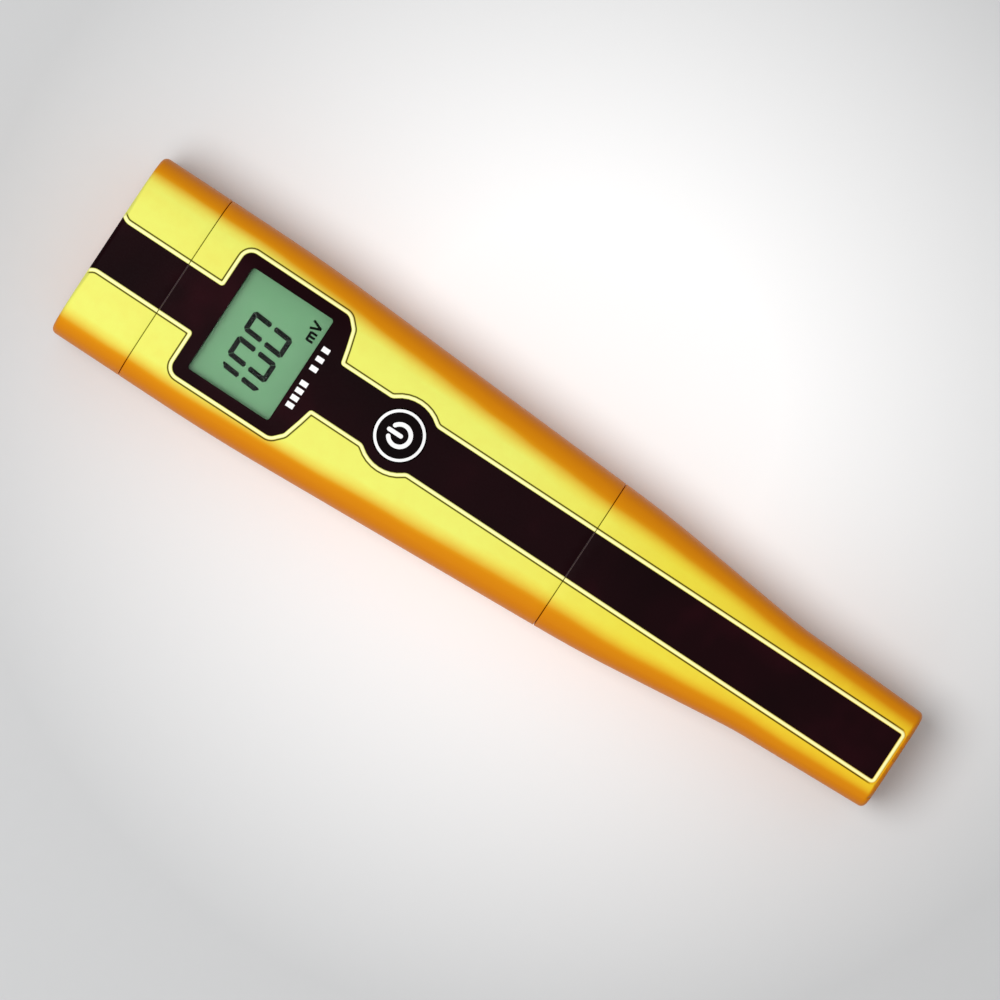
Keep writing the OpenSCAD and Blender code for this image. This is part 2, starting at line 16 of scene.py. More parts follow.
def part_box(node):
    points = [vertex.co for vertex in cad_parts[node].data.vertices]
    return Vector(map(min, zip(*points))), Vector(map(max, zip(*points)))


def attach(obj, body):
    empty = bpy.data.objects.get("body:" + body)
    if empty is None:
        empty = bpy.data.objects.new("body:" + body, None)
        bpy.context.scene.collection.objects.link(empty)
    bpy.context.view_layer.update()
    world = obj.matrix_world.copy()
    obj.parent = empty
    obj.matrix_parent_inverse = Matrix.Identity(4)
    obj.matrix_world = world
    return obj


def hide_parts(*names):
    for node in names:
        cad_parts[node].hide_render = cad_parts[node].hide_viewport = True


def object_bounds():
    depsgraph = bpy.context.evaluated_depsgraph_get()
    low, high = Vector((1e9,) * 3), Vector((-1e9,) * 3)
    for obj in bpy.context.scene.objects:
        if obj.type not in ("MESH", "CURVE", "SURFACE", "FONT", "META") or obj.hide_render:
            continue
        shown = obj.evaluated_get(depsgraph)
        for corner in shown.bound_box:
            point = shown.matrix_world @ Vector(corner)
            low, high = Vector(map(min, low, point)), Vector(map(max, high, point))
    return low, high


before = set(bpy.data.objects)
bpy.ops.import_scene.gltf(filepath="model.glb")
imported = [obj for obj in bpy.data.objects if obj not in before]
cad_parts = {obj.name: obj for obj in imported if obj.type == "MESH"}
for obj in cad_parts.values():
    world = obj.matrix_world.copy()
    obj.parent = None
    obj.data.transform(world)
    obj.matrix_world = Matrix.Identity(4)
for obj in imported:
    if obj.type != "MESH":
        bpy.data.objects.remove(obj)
cad_low, cad_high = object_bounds()

MM = 0.001
LENGTH = (cad_high.x - cad_low.x) / MM
HEAD_WIDTH = (cad_high.y - cad_low.y) / MM
HEAD_DEPTH = (cad_high.z - cad_low.z) / MM


def cad_box(node):
    """A CAD node's lowest and highest corners as (s, y, z) in millimetres."""
    low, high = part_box(node)
    return tuple(np.array((p.x / MM + LENGTH / 2, p.y / MM, p.z / MM)) for p in (low, high))


# ---- Shape of the case, as in the CAD model ----

AXIS_Z = 11.5
BELLY = 0.3
FULLNESS = 4
WALL = 1.8
END_ROUND = 1.1
BENDS = (39, 124, 159.4, LENGTH)
EASE = (12, 8, 3)
WIDTHS = (HEAD_WIDTH, 33.1, 25.0, 22.6)
FRONTS = (HEAD_DEPTH, HEAD_DEPTH - 1.2, HEAD_DEPTH - 2.9, HEAD_DEPTH - 3.8)
BACKS = (0, 0, 1.9, 3.3)

# The yellow face lies this far under the lip round the label, whose top is the CAD face
FACE_DROP = 0.15
SEAM_ROUND = 0.18
NECK_INSET = 2.05
NECK_INNER = 3.8
SEAL_INSET = NECK_INSET + 0.9
SEAL_W = 1.4

# The body's shells run from neck to neck; a cap's mouth is a gap away from its seam
SEAM_GAP = 0.15
BATTERY_NECK, PROBE_NECK = (corner[0] for corner in cad_box("front_shell"))
BATTERY_NECK_LENGTH = 8.4
SEAM_BATTERY = BATTERY_NECK + BATTERY_NECK_LENGTH
PROBE_MOUTH = cad_box("protective_cap")[0][0]
SEAM_PROBE = PROBE_MOUTH - SEAM_GAP
BATTERY_MOUTH = SEAM_BATTERY - SEAM_GAP


def ramp(s, at, soft):
    """A ramp that starts at "at" and is eased over "soft" on each side."""
    eased = (s - at + soft) ** 2 / (4 * soft)
    return np.where(s <= at - soft, 0, np.where(s >= at + soft, s - at, eased))


def follow(s, values):
    """Straight runs between the values at the bends, eased into each other."""
    s = np.asarray(s, float)
    total = np.full(s.shape, float(values[0]))
    before = 0
    for i, soft in enumerate(EASE):
        slope = (values[i + 1] - values[i]) / (BENDS[i + 1] - BENDS[i])
        total = total + (slope - before) * ramp(s, BENDS[i], soft)
        before = slope
    return total


def half_width(s):
    return follow(s, WIDTHS) / 2


def edge_in(d, r):
    """How far an edge of radius r is drawn in at distance d from the end."""
    d = np.clip(d, 0, r)
    return r - np.sqrt(np.maximum(r * r - (r - d) ** 2, 0))


def curve(c):
    return np.sign(c) * np.abs(c) ** (2 / FULLNESS)


def section(s, inset, angles):
    """Points (s, y, z) of the case's section at s, drawn in by inset, at superellipse angles."""
    w = half_width(s) - inset
    up = follow(s, FRONTS) - FACE_DROP - AXIS_Z - inset
    down = AXIS_Z - follow(s, BACKS) - inset + BELLY
    a = np.radians(angles)
    z = AXIS_Z + np.where(np.sin(a) >= 0, up, down) * curve(np.sin(a))
    z = np.maximum(z, follow(s, BACKS) + inset)
    y = w * curve(np.cos(a))
    return np.stack([np.full(y.shape, float(s)), y, z], 1)


def front(points, inset=0, lift=0):
    """Puts (s, y) points on the front face, drawn in by inset and raised by lift."""
    s, y = np.asarray(points, float).T
    inset = inset(s) if callable(inset) else inset
    v = np.clip(np.abs(y) / (half_width(s) - inset), 0, 1)
    up = follow(s, FRONTS) - FACE_DROP - AXIS_Z - inset
    return np.stack([s, y, AXIS_Z + up * (1 - v**FULLNESS) ** (1 / FULLNESS) + lift], 1)


def on_face(inset=0, lift=0):
    return lambda points: front(points, inset, lift)


def back(points, inset=0, lift=0):
    """Puts (s, y) points on the back, drawn in by inset and raised, towards the inside, by lift."""
    s, y = np.asarray(points, float).T
    inset = inset(s) if callable(inset) else inset
    v = np.clip(np.abs(y) / (half_width(s) - inset), 0, 1)
    down = AXIS_Z - follow(s, BACKS) - inset + BELLY
    z = AXIS_Z - down * (1 - v**FULLNESS) ** (1 / FULLNESS)
    return np.stack([s, y, np.maximum(z, follow(s, BACKS) + inset) + lift], 1)


def on_back(inset=0, lift=0):
    return lambda points: back(points, inset, lift)


def level(z):
    return lambda points: np.insert(np.asarray(points, float), 2, z, 1)


# ---- Mesh making ----

WELD = 2e-6
SHARP_EDGE = math.radians(32)


def in_scene(name, data):
    made = bpy.data.objects.new(name, data)
    bpy.context.scene.collection.objects.link(made)
    return made


class Body:
    """Collects points and faces, then welds them into one mesh object."""

    def __init__(self):
        self.points, self.faces = [], []

    def add(self, points, faces):
        base = len(self.points)
        self.points.extend(np.asarray(points, float).tolist())
        self.faces.extend([base + i for i in f] for f in faces)

    def grid(self, rows, closed=False):
        """Quads between rows of points of equal length."""
        n = len(rows[0])
        last = n if closed else n - 1
        faces = [
            (k * n + i, k * n + (i + 1) % n, (k + 1) * n + (i + 1) % n, (k + 1) * n + i)
            for k in range(len(rows) - 1)
            for i in range(last)
        ]
        self.add(np.concatenate(rows), faces)

    def fill(self, surface, loops, spacing=1.6, **others):
        """Triangles over loops, put on a surface, which is a function of their points."""
        flat, faces = triangles(loops, spacing, **others)
        self.add(surface(flat), faces)

    def make(self, name):
        """The welded mesh as an object, smooth except at its sharp edges."""
        mesh = bpy.data.meshes.new(name)
        points = np.array(self.points)
        points[:, 0] -= LENGTH / 2
        mesh.from_pydata((points * MM).tolist(), [], self.faces)
        work = bmesh.new()
        work.from_mesh(mesh)
        bmesh.ops.remove_doubles(work, verts=work.verts, dist=WELD)
        bmesh.ops.dissolve_degenerate(work, edges=work.edges, dist=WELD)
        bmesh.ops.recalc_face_normals(work, faces=work.faces)
        for e in work.edges:
            e.smooth = len(e.link_faces) == 2 and e.calc_face_angle(0) < SHARP_EDGE
        for f in work.faces:
            f.smooth = True
        work.to_mesh(mesh)
        work.free()
        return in_scene(name, mesh)


def inside(points, loops):
    """True for each (s, y) point that an odd number of loops surround."""
    p = np.asarray(points, float)
    found = np.zeros(len(p), bool)
    for loop in loops:
        a = np.asarray(loop, float)
        b = np.roll(a, -1, 0)
        crosses = (a[None, :, 1] > p[:, None, 1]) != (b[None, :, 1] > p[:, None, 1])
        run = b[:, 1] - a[:, 1]
        run = np.where(run == 0, 1, run)
        at = a[:, 0] + (p[:, None, 1] - a[:, 1]) * (b[:, 0] - a[:, 0]) / run
        found ^= (crosses & (p[:, None, 0] < at)).sum(1) % 2 == 1
    return found


BORDER_CLEAR = 0.35


def triangles(loops, spacing=1.6, lines=(), extra=()):
    """Fills closed (s, y) loops, less the loops inside them, with triangles.

    The triangles follow the open lines, and pass through the extra points and through a grid of
    the given spacing, apart from points that are too close to a loop or line.
    """
    points, edges = [], []
    for path, closed in [(p, True) for p in loops] + [(p, False) for p in lines]:
        base, n = len(points), len(path)
        points.extend(map(tuple, path))
        edges.extend((base + i, base + (i + 1) % n) for i in range(n if closed else n - 1))
    low, high = np.min(points, 0), np.max(points, 0)

    def fill(more, clear):
        """Takes up the points that are inside the loops and clear of every point so far."""
        more = np.array(more)
        more = more[inside(more, loops)]
        gap = np.sqrt(((more[:, None] - np.array(points)[None]) ** 2).sum(2)).min(1)
        points.extend(map(tuple, more[gap > clear]))

    if len(extra):
        fill(extra, BORDER_CLEAR)
    if spacing:
        rows = np.arange(low[1] + spacing / 2, high[1], spacing * 0.87)
        grid = [
            (s, y)
            for k, y in enumerate(rows)
            for s in np.arange(low[0] + spacing * (0.5 + (k % 2) / 2), high[0], spacing)
        ]
        if grid:
            fill(grid, spacing * 0.55)
    made = delaunay_2d_cdt([Vector(p) for p in points], edges, [], 0, 1e-6)
    flat = np.array([(v.x, v.y) for v in made[0]])
    faces = [list(f) for f in made[2]]
    keep = inside(np.array([flat[f].mean(0) for f in faces]), loops)
    return flat, [f for f, k in zip(faces, keep) if k]


def plate(name, loops, top, bottom, spacing=1.6, extra=()):
    """A closed solid over (s, y) loops between two surfaces, each a function of the points."""
    body = Body()
    for surface in (top, bottom):
        body.fill(surface, loops, spacing, extra=extra)
    for loop in loops:
        body.grid([top(loop), bottom(loop)], closed=True)
    return body.make(name)


def turned(name, profile, s):
    """A solid turned round an upright axis at s from (radius, height) points on it."""
    a = np.linspace(0, 2 * math.pi, 96, endpoint=False)
    rows = [
        np.stack([s + r * np.cos(a), r * np.sin(a), np.full(a.shape, float(h))], 1)
        for r, h in profile
    ]
    body = Body()
    body.grid(rows, closed=True)
    return body.make(name)


# ---- Front label outline ----

STRIPE_HALF = 5.4
FIELD_START = 24.6
FIELD_HALF = 14.65
KEY_S = sum(c[0] for c in cad_box("power_key")) / 2
BULGE_R = 7.5
BULGE_FILLET = 2
FLARE = 0.75
FLARE_LEN = 1.9
LABEL_END = LENGTH - 1.95
TIGHTEST = 0.25
PATH_STEP = 2.2
ARC_STEPS = 8

bulge_turn = math.acos((STRIPE_HALF + BULGE_FILLET) / (BULGE_R + BULGE_FILLET))
bulge_top = BULGE_R / math.cos(bulge_turn)
bulge_foot = (bulge_top - STRIPE_HALF) / math.tan(bulge_turn)


def rounding(end, r, way):
    """Stations in the rounded edge at an end of a stretch; way is 1 at its start, -1 at its end."""
    angles = (75, 60, 45, 30, 15, 0) if r > 0.5 else (60, 30, 0)
    return [end + way * r * (1 - math.sin(math.radians(a))) for a in angles]


SEAM_STEPS = len(rounding(0, SEAM_ROUND, 1))
END_STEPS = len(rounding(0, END_ROUND, 1))


def stops(end, r, way):
    """Plain corners on the stripe's edge at those stations."""
    return [(s, STRIPE_HALF, 0) for s in rounding(end, r, way)][::way]


# Corners (s, y, radius) of the label's edge on the side of +Y
CAP_EDGE = [
    (s, STRIPE_HALF + FLARE * (1 - s / FLARE_LEN) ** 2, 0)
    for s in [0, *rounding(0, END_ROUND, 1), 1.4, FLARE_LEN]
]
CAP_EDGE += [*stops(BATTERY_MOUTH, SEAM_ROUND, -1), (BATTERY_MOUTH, STRIPE_HALF, 0)]
BODY_EDGE = [
    (SEAM_BATTERY, STRIPE_HALF, 0),
    *stops(SEAM_BATTERY, SEAM_ROUND, 1),
    (FIELD_START, STRIPE_HALF, 0.8),
    (FIELD_START, FIELD_HALF, 2.1),
    (48.9, FIELD_HALF - 0.1, 2),
    (50.9, FIELD_HALF - 2.2, 1.6),
    (52, FIELD_HALF - 6, 4),
    (52.8, STRIPE_HALF, 0.8),
    (KEY_S - bulge_foot, STRIPE_HALF, BULGE_FILLET),
    (KEY_S, bulge_top, BULGE_R),
    (KEY_S + bulge_foot, STRIPE_HALF, BULGE_FILLET),
    *stops(SEAM_PROBE, SEAM_ROUND, -1),
    (SEAM_PROBE, STRIPE_HALF, 0),
]
TIP_EDGE = [
    (PROBE_MOUTH, STRIPE_HALF, 0),
    *stops(PROBE_MOUTH, SEAM_ROUND, 1),
    (LABEL_END, STRIPE_HALF, 0.3),
    (LABEL_END, 0, 0),
]

# Each stretch of the case: its label's edge, its start and end, and the rounding of its two ends
BATTERY_CAP = (CAP_EDGE, 0, BATTERY_MOUTH, (END_ROUND, SEAM_ROUND))
BODY = (BODY_EDGE, SEAM_BATTERY, SEAM_PROBE, (SEAM_ROUND, SEAM_ROUND))
PROTECTIVE_CAP = (TIP_EDGE, PROBE_MOUTH, LENGTH, (SEAM_ROUND, END_ROUND))


def unit(v):
    return v / np.linalg.norm(v)


def path(corners, d=0):
    """Points along rounded corners, moved by d to the left of the way they run."""
    p = [np.array(c[:2], float) for c in corners]
    along = [unit(b - a) for a, b in zip(p, p[1:])]
    side = [np.array((-t[1], t[0])) for t in along]
    points = []
    start = p[0] + d * side[0]
    start = start - along[0] * (start[0] - p[0][0]) / (along[0][0] or 1)
    for i in range(1, len(p)):
        steps = max(1, math.ceil(np.linalg.norm(p[i] - p[i - 1]) / PATH_STEP))
        if i == len(p) - 1:
            end = p[i] + d * side[-1]
            points += [start + (end - start) * k / steps for k in range(steps + 1)]
            break
        into, out, n = along[i - 1], along[i], side[i - 1]
        corner = p[i] + d * (n + side[i]) / (1 + n @ side[i])
        if corners[i][2] == 0:
            points += [start + (corner - start) * k / steps for k in range(steps)]
            start = corner
            continue
        left = into[0] * out[1] - into[1] * out[0] > 0
        r = max(corners[i][2] - d, TIGHTEST) if left else max(corners[i][2] + d, 0.02)
        turn = math.acos(np.clip(into @ out, -1, 1))
        reach = r * math.tan(turn / 2)
        first = corner - into * reach
        points += [start + (first - start) * k / steps for k in range(steps)]
        centre = first + n * (r if left else -r)
        for k in range(ARC_STEPS):
            a = turn * k / ARC_STEPS * (1 if left else -1)
            x, y = first - centre
            turned_by = (x * math.cos(a) - y * math.sin(a), x * math.sin(a) + y * math.cos(a))
            points.append(centre + np.array(turned_by))
        start = corner + out * reach
    return np.array(points)


def mirrored(points):
    return np.asarray(points)[::-1] * (1, -1)


# Rings round the label: distance from its edge, and height over the yellow face
POCKET = -0.42
BORDER = [
    (-0.02, POCKET), (0, -0.12), (0.08, 0.03), (0.2, 0.11), (0.4, FACE_DROP), (0.6, 0.13),
    (0.76, 0.04), (0.84, -0.16), (0.9, -0.24), (1.0, -0.24), (1.05, -0.12), (1.16, 0),
]
RING_HALVES = [STRIPE_HALF + d for d, _ in BORDER[::-1]]
ZONE = 0.86
ZONE_ANGLE = math.degrees(math.acos(ZONE ** (FULLNESS / 2)))
FLOOR_STEPS = 4
FACE_STEPS = 8
ACROSS_STEP = 1.3
SIDE_ANGLES = np.array(
    [0, 0.01, 0.4, 1.5, 3.5, 6, 9, 12.5, 16, 20, 24, 28, 32, 36, 39.5, ZONE_ANGLE]
)


def front_columns(s, inset, halves=RING_HALVES):
    """y of the columns across the front zone at s, from +Y to -Y, and their heights at a seam."""
    reach = ZONE * (float(half_width(s)) - inset)
    face = [reach + (halves[0] - reach) * k / FACE_STEPS for k in range(FACE_STEPS)]
    floor = [halves[-1] * (1 - k / FLOOR_STEPS) for k in range(1, FLOOR_STEPS + 1)]
    y = np.array([*face, *halves, *floor])
    lift = np.array([0] * FACE_STEPS + [h for _, h in BORDER[::-1]] + [POCKET] * FLOOR_STEPS)
    return np.concatenate([y, -y[-2::-1]]), np.concatenate([lift, lift[-2::-1]])


def front_row(s, inset, halves=None):
    """The points of the front zone's columns at s, with the border's heights if halves says
    how far from the middle its rings are."""
    y, lift = front_columns(s, inset, halves or RING_HALVES)
    row = front(np.stack([np.full(len(y), float(s)), y], 1), inset)
    if halves:
        row[:, 2] += lift
    return row


def upper_row(s, inset, halves=None):
    """From the parting plane at +Y over the front to the parting plane at -Y."""
    sides = section(s, inset, SIDE_ANGLES)
    other = sides[::-1] * (1, -1, 1)
    return np.concatenate([sides[:-1], front_row(s, inset, halves), other[1:]])


# The back's flat ends where the superellipse meets it, at this share of the half width
KINK = 0.559
KINK_ANGLE = math.degrees(math.acos(KINK ** (FULLNESS / 2)))
BACK_ANGLES = np.concatenate([[ZONE_ANGLE], [47, 52, 57, 62, 67, KINK_ANGLE, 76, 80, 85, 90]])


def lower_row(s, inset):
    """From the parting plane at -Y under the back to the parting plane at +Y."""
    quarter = section(s, inset, -np.concatenate([SIDE_ANGLES, BACK_ANGLES[1:]]))
    return np.concatenate([quarter * (1, -1, 1), quarter[-2::-1]])


def round_row(s, inset, halves=None):
    """The whole section at s, closed."""
    return np.concatenate([upper_row(s, inset, halves)[:-1], lower_row(s, inset)[:-1]])


def stations(start, end, r_start, r_end, step=2.0):
    """Stations along a stretch of the case, close together where its ends are rounded."""
    first = [start, *rounding(start, r_start, 1)]
    last = [*rounding(end, r_end, -1)[::-1], end]
    low, high = start + r_start, end - r_end
    count = math.ceil((high - low) / step)
    return first + [low + (high - low) * k / count for k in range(1, count)] + last


def end_inset(start, end, r_start, r_end):
    """The inset of a stretch whose two end edges are rounded."""
    return lambda s: edge_in(np.asarray(s) - start, r_start) + edge_in(end - np.asarray(s), r_end)


def across_points(at):
    """Points across the pen at each station, that hold the shape of a rounded edge."""
    return [(s, y) for s in at for y in np.arange(-HEAD_WIDTH / 2, HEAD_WIDTH / 2, ACROSS_STEP)]


def drawn_in(s, inset):
    """Half the case's width at s, less its inset there."""
    return float(half_width(s)) - float(inset(s))


def zone_half(s, inset):
    """Half the width of the front and back zones at s."""
    return ZONE * drawn_in(s, inset)


def face_with_border(body, edge, inset, at, strips):
    """The front zone round the label: its face, lip, groove and pocket. Returns the pocket's loop.

    The first and last stations, as many as strips says, are joined straight across; a label that
    stops short of the far end has no strip there, but None.
    """
    rings = [path(edge, d) for d, _ in BORDER]
    for sign in (1, -1):
        body.grid([front(r * (1, sign), inset, h) for r, (_, h) in zip(rings, BORDER)])
    closed_tip = strips[1] is None
    first, last = strips[0], strips[1] or 0
    rim = rings[-1]
    middle = at[first : len(at) - last]
    kept = rim[first : len(rim) - last]
    start, end = middle[0], middle[-1]

    def across(i, side):
        """Points on one side at a station, from the zone's edge up to the rim."""
        outer = np.array((at[i], zone_half(at[i], inset)))
        steps = [k / FACE_STEPS for k in range(FACE_STEPS + 1)]
        return [tuple((outer + (rim[i] - outer) * k) * (1, side)) for k in steps]

    def zone_edge(side):
        return [(s, zone_half(s, inset) * side) for s in middle[1:-1]]

    for side in (1, -1):
        if first:
            body.grid([front(across(i, side), inset) for i in range(first + 1)])
        if last:
            body.grid([front(across(i, side), inset) for i in range(-last - 1, 0)])
    if closed_tip:
        loop = across(first, 1)[:-1]
        loop += [tuple(p) for p in kept] + [tuple(p) for p in mirrored(kept)[1:]]
        loop += across(first, -1)[-2::-1] + zone_edge(-1)
        loop += [(end, -y) for y in front_columns(end, float(inset(end)))[0]]
        loop += zone_edge(1)[::-1]
        loops = [loop]
    else:
        loops = []
        for side in (1, -1):
            loop = across(first, side)[:-1] + [tuple(p * (1, side)) for p in kept]
            loops.append(loop + across(-last - 1, side)[-2::-1] + zone_edge(side)[::-1])
    bent = [s for s in middle[1:-1] if s - start < END_ROUND + 1 or end - s < END_ROUND + 1]
    for loop in loops:
        body.fill(on_face(inset), [loop], extra=across_points(bent))
    start, end = at[0], at[-1]
    floor = rings[0]
    loop = [tuple(p) for p in floor]
    if not closed_tip:
        loop += [(end, floor[-1][1] * (1 - k / FLOOR_STEPS)) for k in range(1, FLOOR_STEPS)]
        loop += [(end, -floor[-1][1] * k / FLOOR_STEPS) for k in range(FLOOR_STEPS)]
        loop += [tuple(p) for p in mirrored(floor)]
    else:
        loop += [tuple(p) for p in mirrored(floor)[1:]]
    loop += [(start, -floor[0][1] * (1 - k / FLOOR_STEPS)) for k in range(1, FLOOR_STEPS)]
    loop += [(start, floor[0][1] * k / FLOOR_STEPS) for k in range(FLOOR_STEPS)]
    return loop


PARTING = 0.13


def parted(row):
    """The row with its first and last points drawn in, for the line where the shells meet."""
    row = row.copy()
    for i in (0, -1):
        if abs(row[i][2] - AXIS_Z) < 0.001:
            row[i][1] -= math.copysign(PARTING, row[i][1])
    return row


def side_grids(body, at, inset, round_back, way=1):
    """The sides between the parting plane and the front zone, or the back zone if way is -1.

    A cap has no parting plane, and gets its whole back too.
    """
    rows = [section(s, float(inset(s)), SIDE_ANGLES * way) for s in at]
    if not round_back:
        rows = [parted(r) for r in rows]
    body.grid(rows)
    body.grid([r * (1, -1, 1) for r in rows])
    if round_back:
        body.grid([lower_row(s, float(inset(s))) for s in at])


# ---- Materials ----


class Look:
    """A procedural material. Its calls add nodes and give back the output that matters."""

    def __init__(self, name):
        self.made = bpy.data.materials.new(name)
        self.made.use_nodes = True
        self.tree = self.made.node_tree

    def feed(self, node, sockets):
        """Links another node's output to a socket, or sets the socket's value."""
        for name, value in sockets.items():
            socket = node.inputs[name]
            if hasattr(value, "is_linked"):
                self.tree.links.new(value, socket)
            else:
                socket.default_value = (*value, 1) if socket.type == "RGBA" else value

    def node(self, kind, **sockets):
        """A new node; a socket's name has _ where it has a space."""
        made = self.tree.nodes.new("ShaderNode" + kind)
        self.feed(made, {name.replace("_", " "): value for name, value in sockets.items()})
        return made

    def surface(self, colour, rough, specular, **others):
        """Sets the shader that the material is built on."""
        sockets = {"Base Color": colour, "Roughness": rough, "Specular IOR Level": specular}
        sockets.update({name.replace("_", " "): value for name, value in others.items()})
        self.feed(self.tree.nodes["Principled BSDF"], sockets)

    def place(self):
        """Where a point is in its piece's own space."""
        return self.node("TexCoord").outputs["Object"]

    def noise(self, scale, detail=4, stretch=(1, 1, 1)):
        """A noise texture with the given number of features per metre."""
        spot = self.node("Mapping", Vector=self.place(), Scale=stretch).outputs["Vector"]
        texture = self.node("TexNoise", Vector=spot, Scale=scale, Detail=detail, Roughness=0.55)
        return texture.outputs["Fac"]

    def spread(self, value, low, high, from_low=0.3, from_high=0.7):
        """Maps a value to a range."""
        node = self.node("MapRange", Value=value, To_Min=low, To_Max=high)
        self.feed(node, {"From Min": from_low, "From Max": from_high})
        return node.outputs["Result"]

    def bumps(self, height, strength=0.15, distance=0.00002):
        node = self.node("Bump", Height=height, Strength=strength, Distance=distance)
        return node.outputs["Normal"]

    def colours(self, value, stops):
        """A colour between stops (place, colour) along a value."""
        node = self.node("ValToRGB", Fac=value)
        elements = node.color_ramp.elements
        while len(elements) < len(stops):
            elements.new(0.5)
        for e, (at, colour) in zip(elements, stops):
            e.position = at
            e.color = (*colour, 1)
        return node.outputs["Color"]

    def mix(self, factor, a, b):
        node = self.node("Mix")
        node.data_type = "RGBA"
        self.feed(node, {0: factor, 6: a, 7: b})
        return node.outputs[2]

    def math(self, operation, *values):
        node = self.node("Math")
        node.operation = operation
        self.feed(node, dict(enumerate(values)))
        return node.outputs[0]

    def stored(self, name):
        """One of the values stored on the case's points."""
        node = self.node("Attribute")
        node.attribute_name = name
        return node.outputs["Fac"]


ROUGH_SPREAD = 0.08


def plain(name, colour, rough, metallic=0.0, grain=900, bump_by=0.15, depth=0.00002, shade=0.12,
          specular=0.5, coat=0.0, stretch=(1, 1, 1)):
    """A solid material with fine grain: its colour, roughness and surface all vary a little."""
    look = Look(name)
    fine = look.noise(grain, stretch=stretch)
    broad = look.spread(look.noise(grain / 12, detail=2), 0, 1)
    dark = tuple(c * (1 - shade) for c in colour)
    roughness = look.spread(fine, rough - ROUGH_SPREAD, rough + ROUGH_SPREAD)
    look.surface(look.mix(broad, dark, colour), roughness, specular, Metallic=metallic,
                 Coat_Weight=coat, Normal=look.bumps(fine, bump_by, depth))
    return look.made


def clear(name, colour, alpha, rough):
    """A clear sheet, with the faint unevenness of glass or acrylic."""
    look = Look(name)
    dark = tuple(c * 0.94 for c in colour)
    roughness = look.spread(look.noise(140, detail=5), rough, rough + 0.05)
    look.surface(look.mix(look.noise(60, detail=2), dark, colour), roughness, 0.3, Alpha=alpha)
    return look.made


# Lit and shaded copies of the case's one plastic: lemon, amber and gold for a painted fall of light along
# the flat front, orange and deep for painted shade round its edges, pale for a painted highlight on the
# lip and shade for painted shade in the groove
LIT_LEMON = (0.78, 0.8, 0.14)
AMBER = (0.8, 0.7, 0.055)
GOLD = (0.82, 0.54, 0.02)
SHADED_ORANGE = (0.66, 0.235, 0.001)
DEEP_SHADE = (0.6, 0.17, 0.001)
LIP_HIGHLIGHT = (0.97, 0.95, 0.44)
SHADE = (0.07, 0.045, 0.004)
# A painted highlight for the film's cut edges at the seams
SEAM_HIGHLIGHT = (0.1, 0.068, 0.073)
FILM_DARK = (0.005, 0.001, 0.0016)
FILM_MAROON = (0.009, 0.0013, 0.0024)
FILM_WORN = (0.02, 0.002, 0.0045)
LCD_GREEN = (0.2, 0.42, 0.235)


def case_material():
    """Satin moulded ABS in lit and shaded copies: lemon on the lit flat front, painted shade deepening to
    orange round the long edges.
    """
    look = Look("case_plastic")
    cloud = look.noise(55, detail=3, stretch=(0.5, 1.6, 1))
    # Painted shade round the long edges, its border wobbled by noise
    edge = look.math("ADD", look.stored("edge"), look.spread(cloud, -0.05, 0.05))
    # A painted fall of light along the flat front, from lemon at the battery end to gold at the tip
    flat = look.colours(look.stored("along"), [(0.45, LIT_LEMON), (0.7, AMBER), (1, GOLD)])
    sides = look.colours(edge, [(0.0, GOLD), (0.5, SHADED_ORANGE), (1, DEEP_SHADE)])
    colour = look.mix(look.spread(edge, 0, 1, 0.0, 0.42), flat, sides)
    colour = look.mix(look.spread(look.noise(420, detail=3), 0, 0.06), colour, SHADED_ORANGE)
    # A painted highlight on the lip and painted shade in the groove round the label
    colour = look.mix(look.stored("lip"), colour, LIP_HIGHLIGHT)
    colour = look.mix(look.stored("groove"), colour, SHADE)
    grain = look.noise(2600, detail=5)
    look.surface(colour, look.spread(grain, 0.36, 0.5), 0.08, Normal=look.bumps(grain, 0.12))
    return look.made


# The painted highlight lies on lines this far outside the seams, full and fading at these widths
SEAM_LINE_OUT = 0.035
SEAM_LINE_HALF = 0.1
SEAM_LINE_FADE = 0.16


def seam_highlight_lines(look):
    """1 on lines along the two seams, where a highlight is painted on the film's cut edges, and 0
    elsewhere.
    """
    along = look.node("SeparateXYZ", Vector=look.place()).outputs["X"]
    gaps = [
        look.math("ABSOLUTE", look.math("SUBTRACT", along, (s - LENGTH / 2) * MM))
        for s in (SEAM_BATTERY - SEAM_LINE_OUT, SEAM_PROBE + SEAM_LINE_OUT)
    ]
    return look.spread(look.math("MINIMUM", *gaps), 1, 0, SEAM_LINE_HALF * MM, SEAM_LINE_FADE * MM)


def label_material():
    """Printed polyester film: near-black with a maroon tint, finely textured, with a painted highlight
    along the seams.
    """
    look = Look("label_film")
    stops = [(0.3, FILM_DARK), (0.55, FILM_MAROON), (0.75, FILM_WORN)]
    colour = look.colours(look.noise(38, detail=3), stops)
    # A painted highlight along the film's cut edges at the seams
    colour = look.mix(seam_highlight_lines(look), colour, SEAM_HIGHLIGHT)
    grain = look.noise(3200, detail=4)
    look.surface(colour, look.spread(grain, 0.42, 0.56), 0.025, Normal=look.bumps(grain, 0.1))
    return look.made


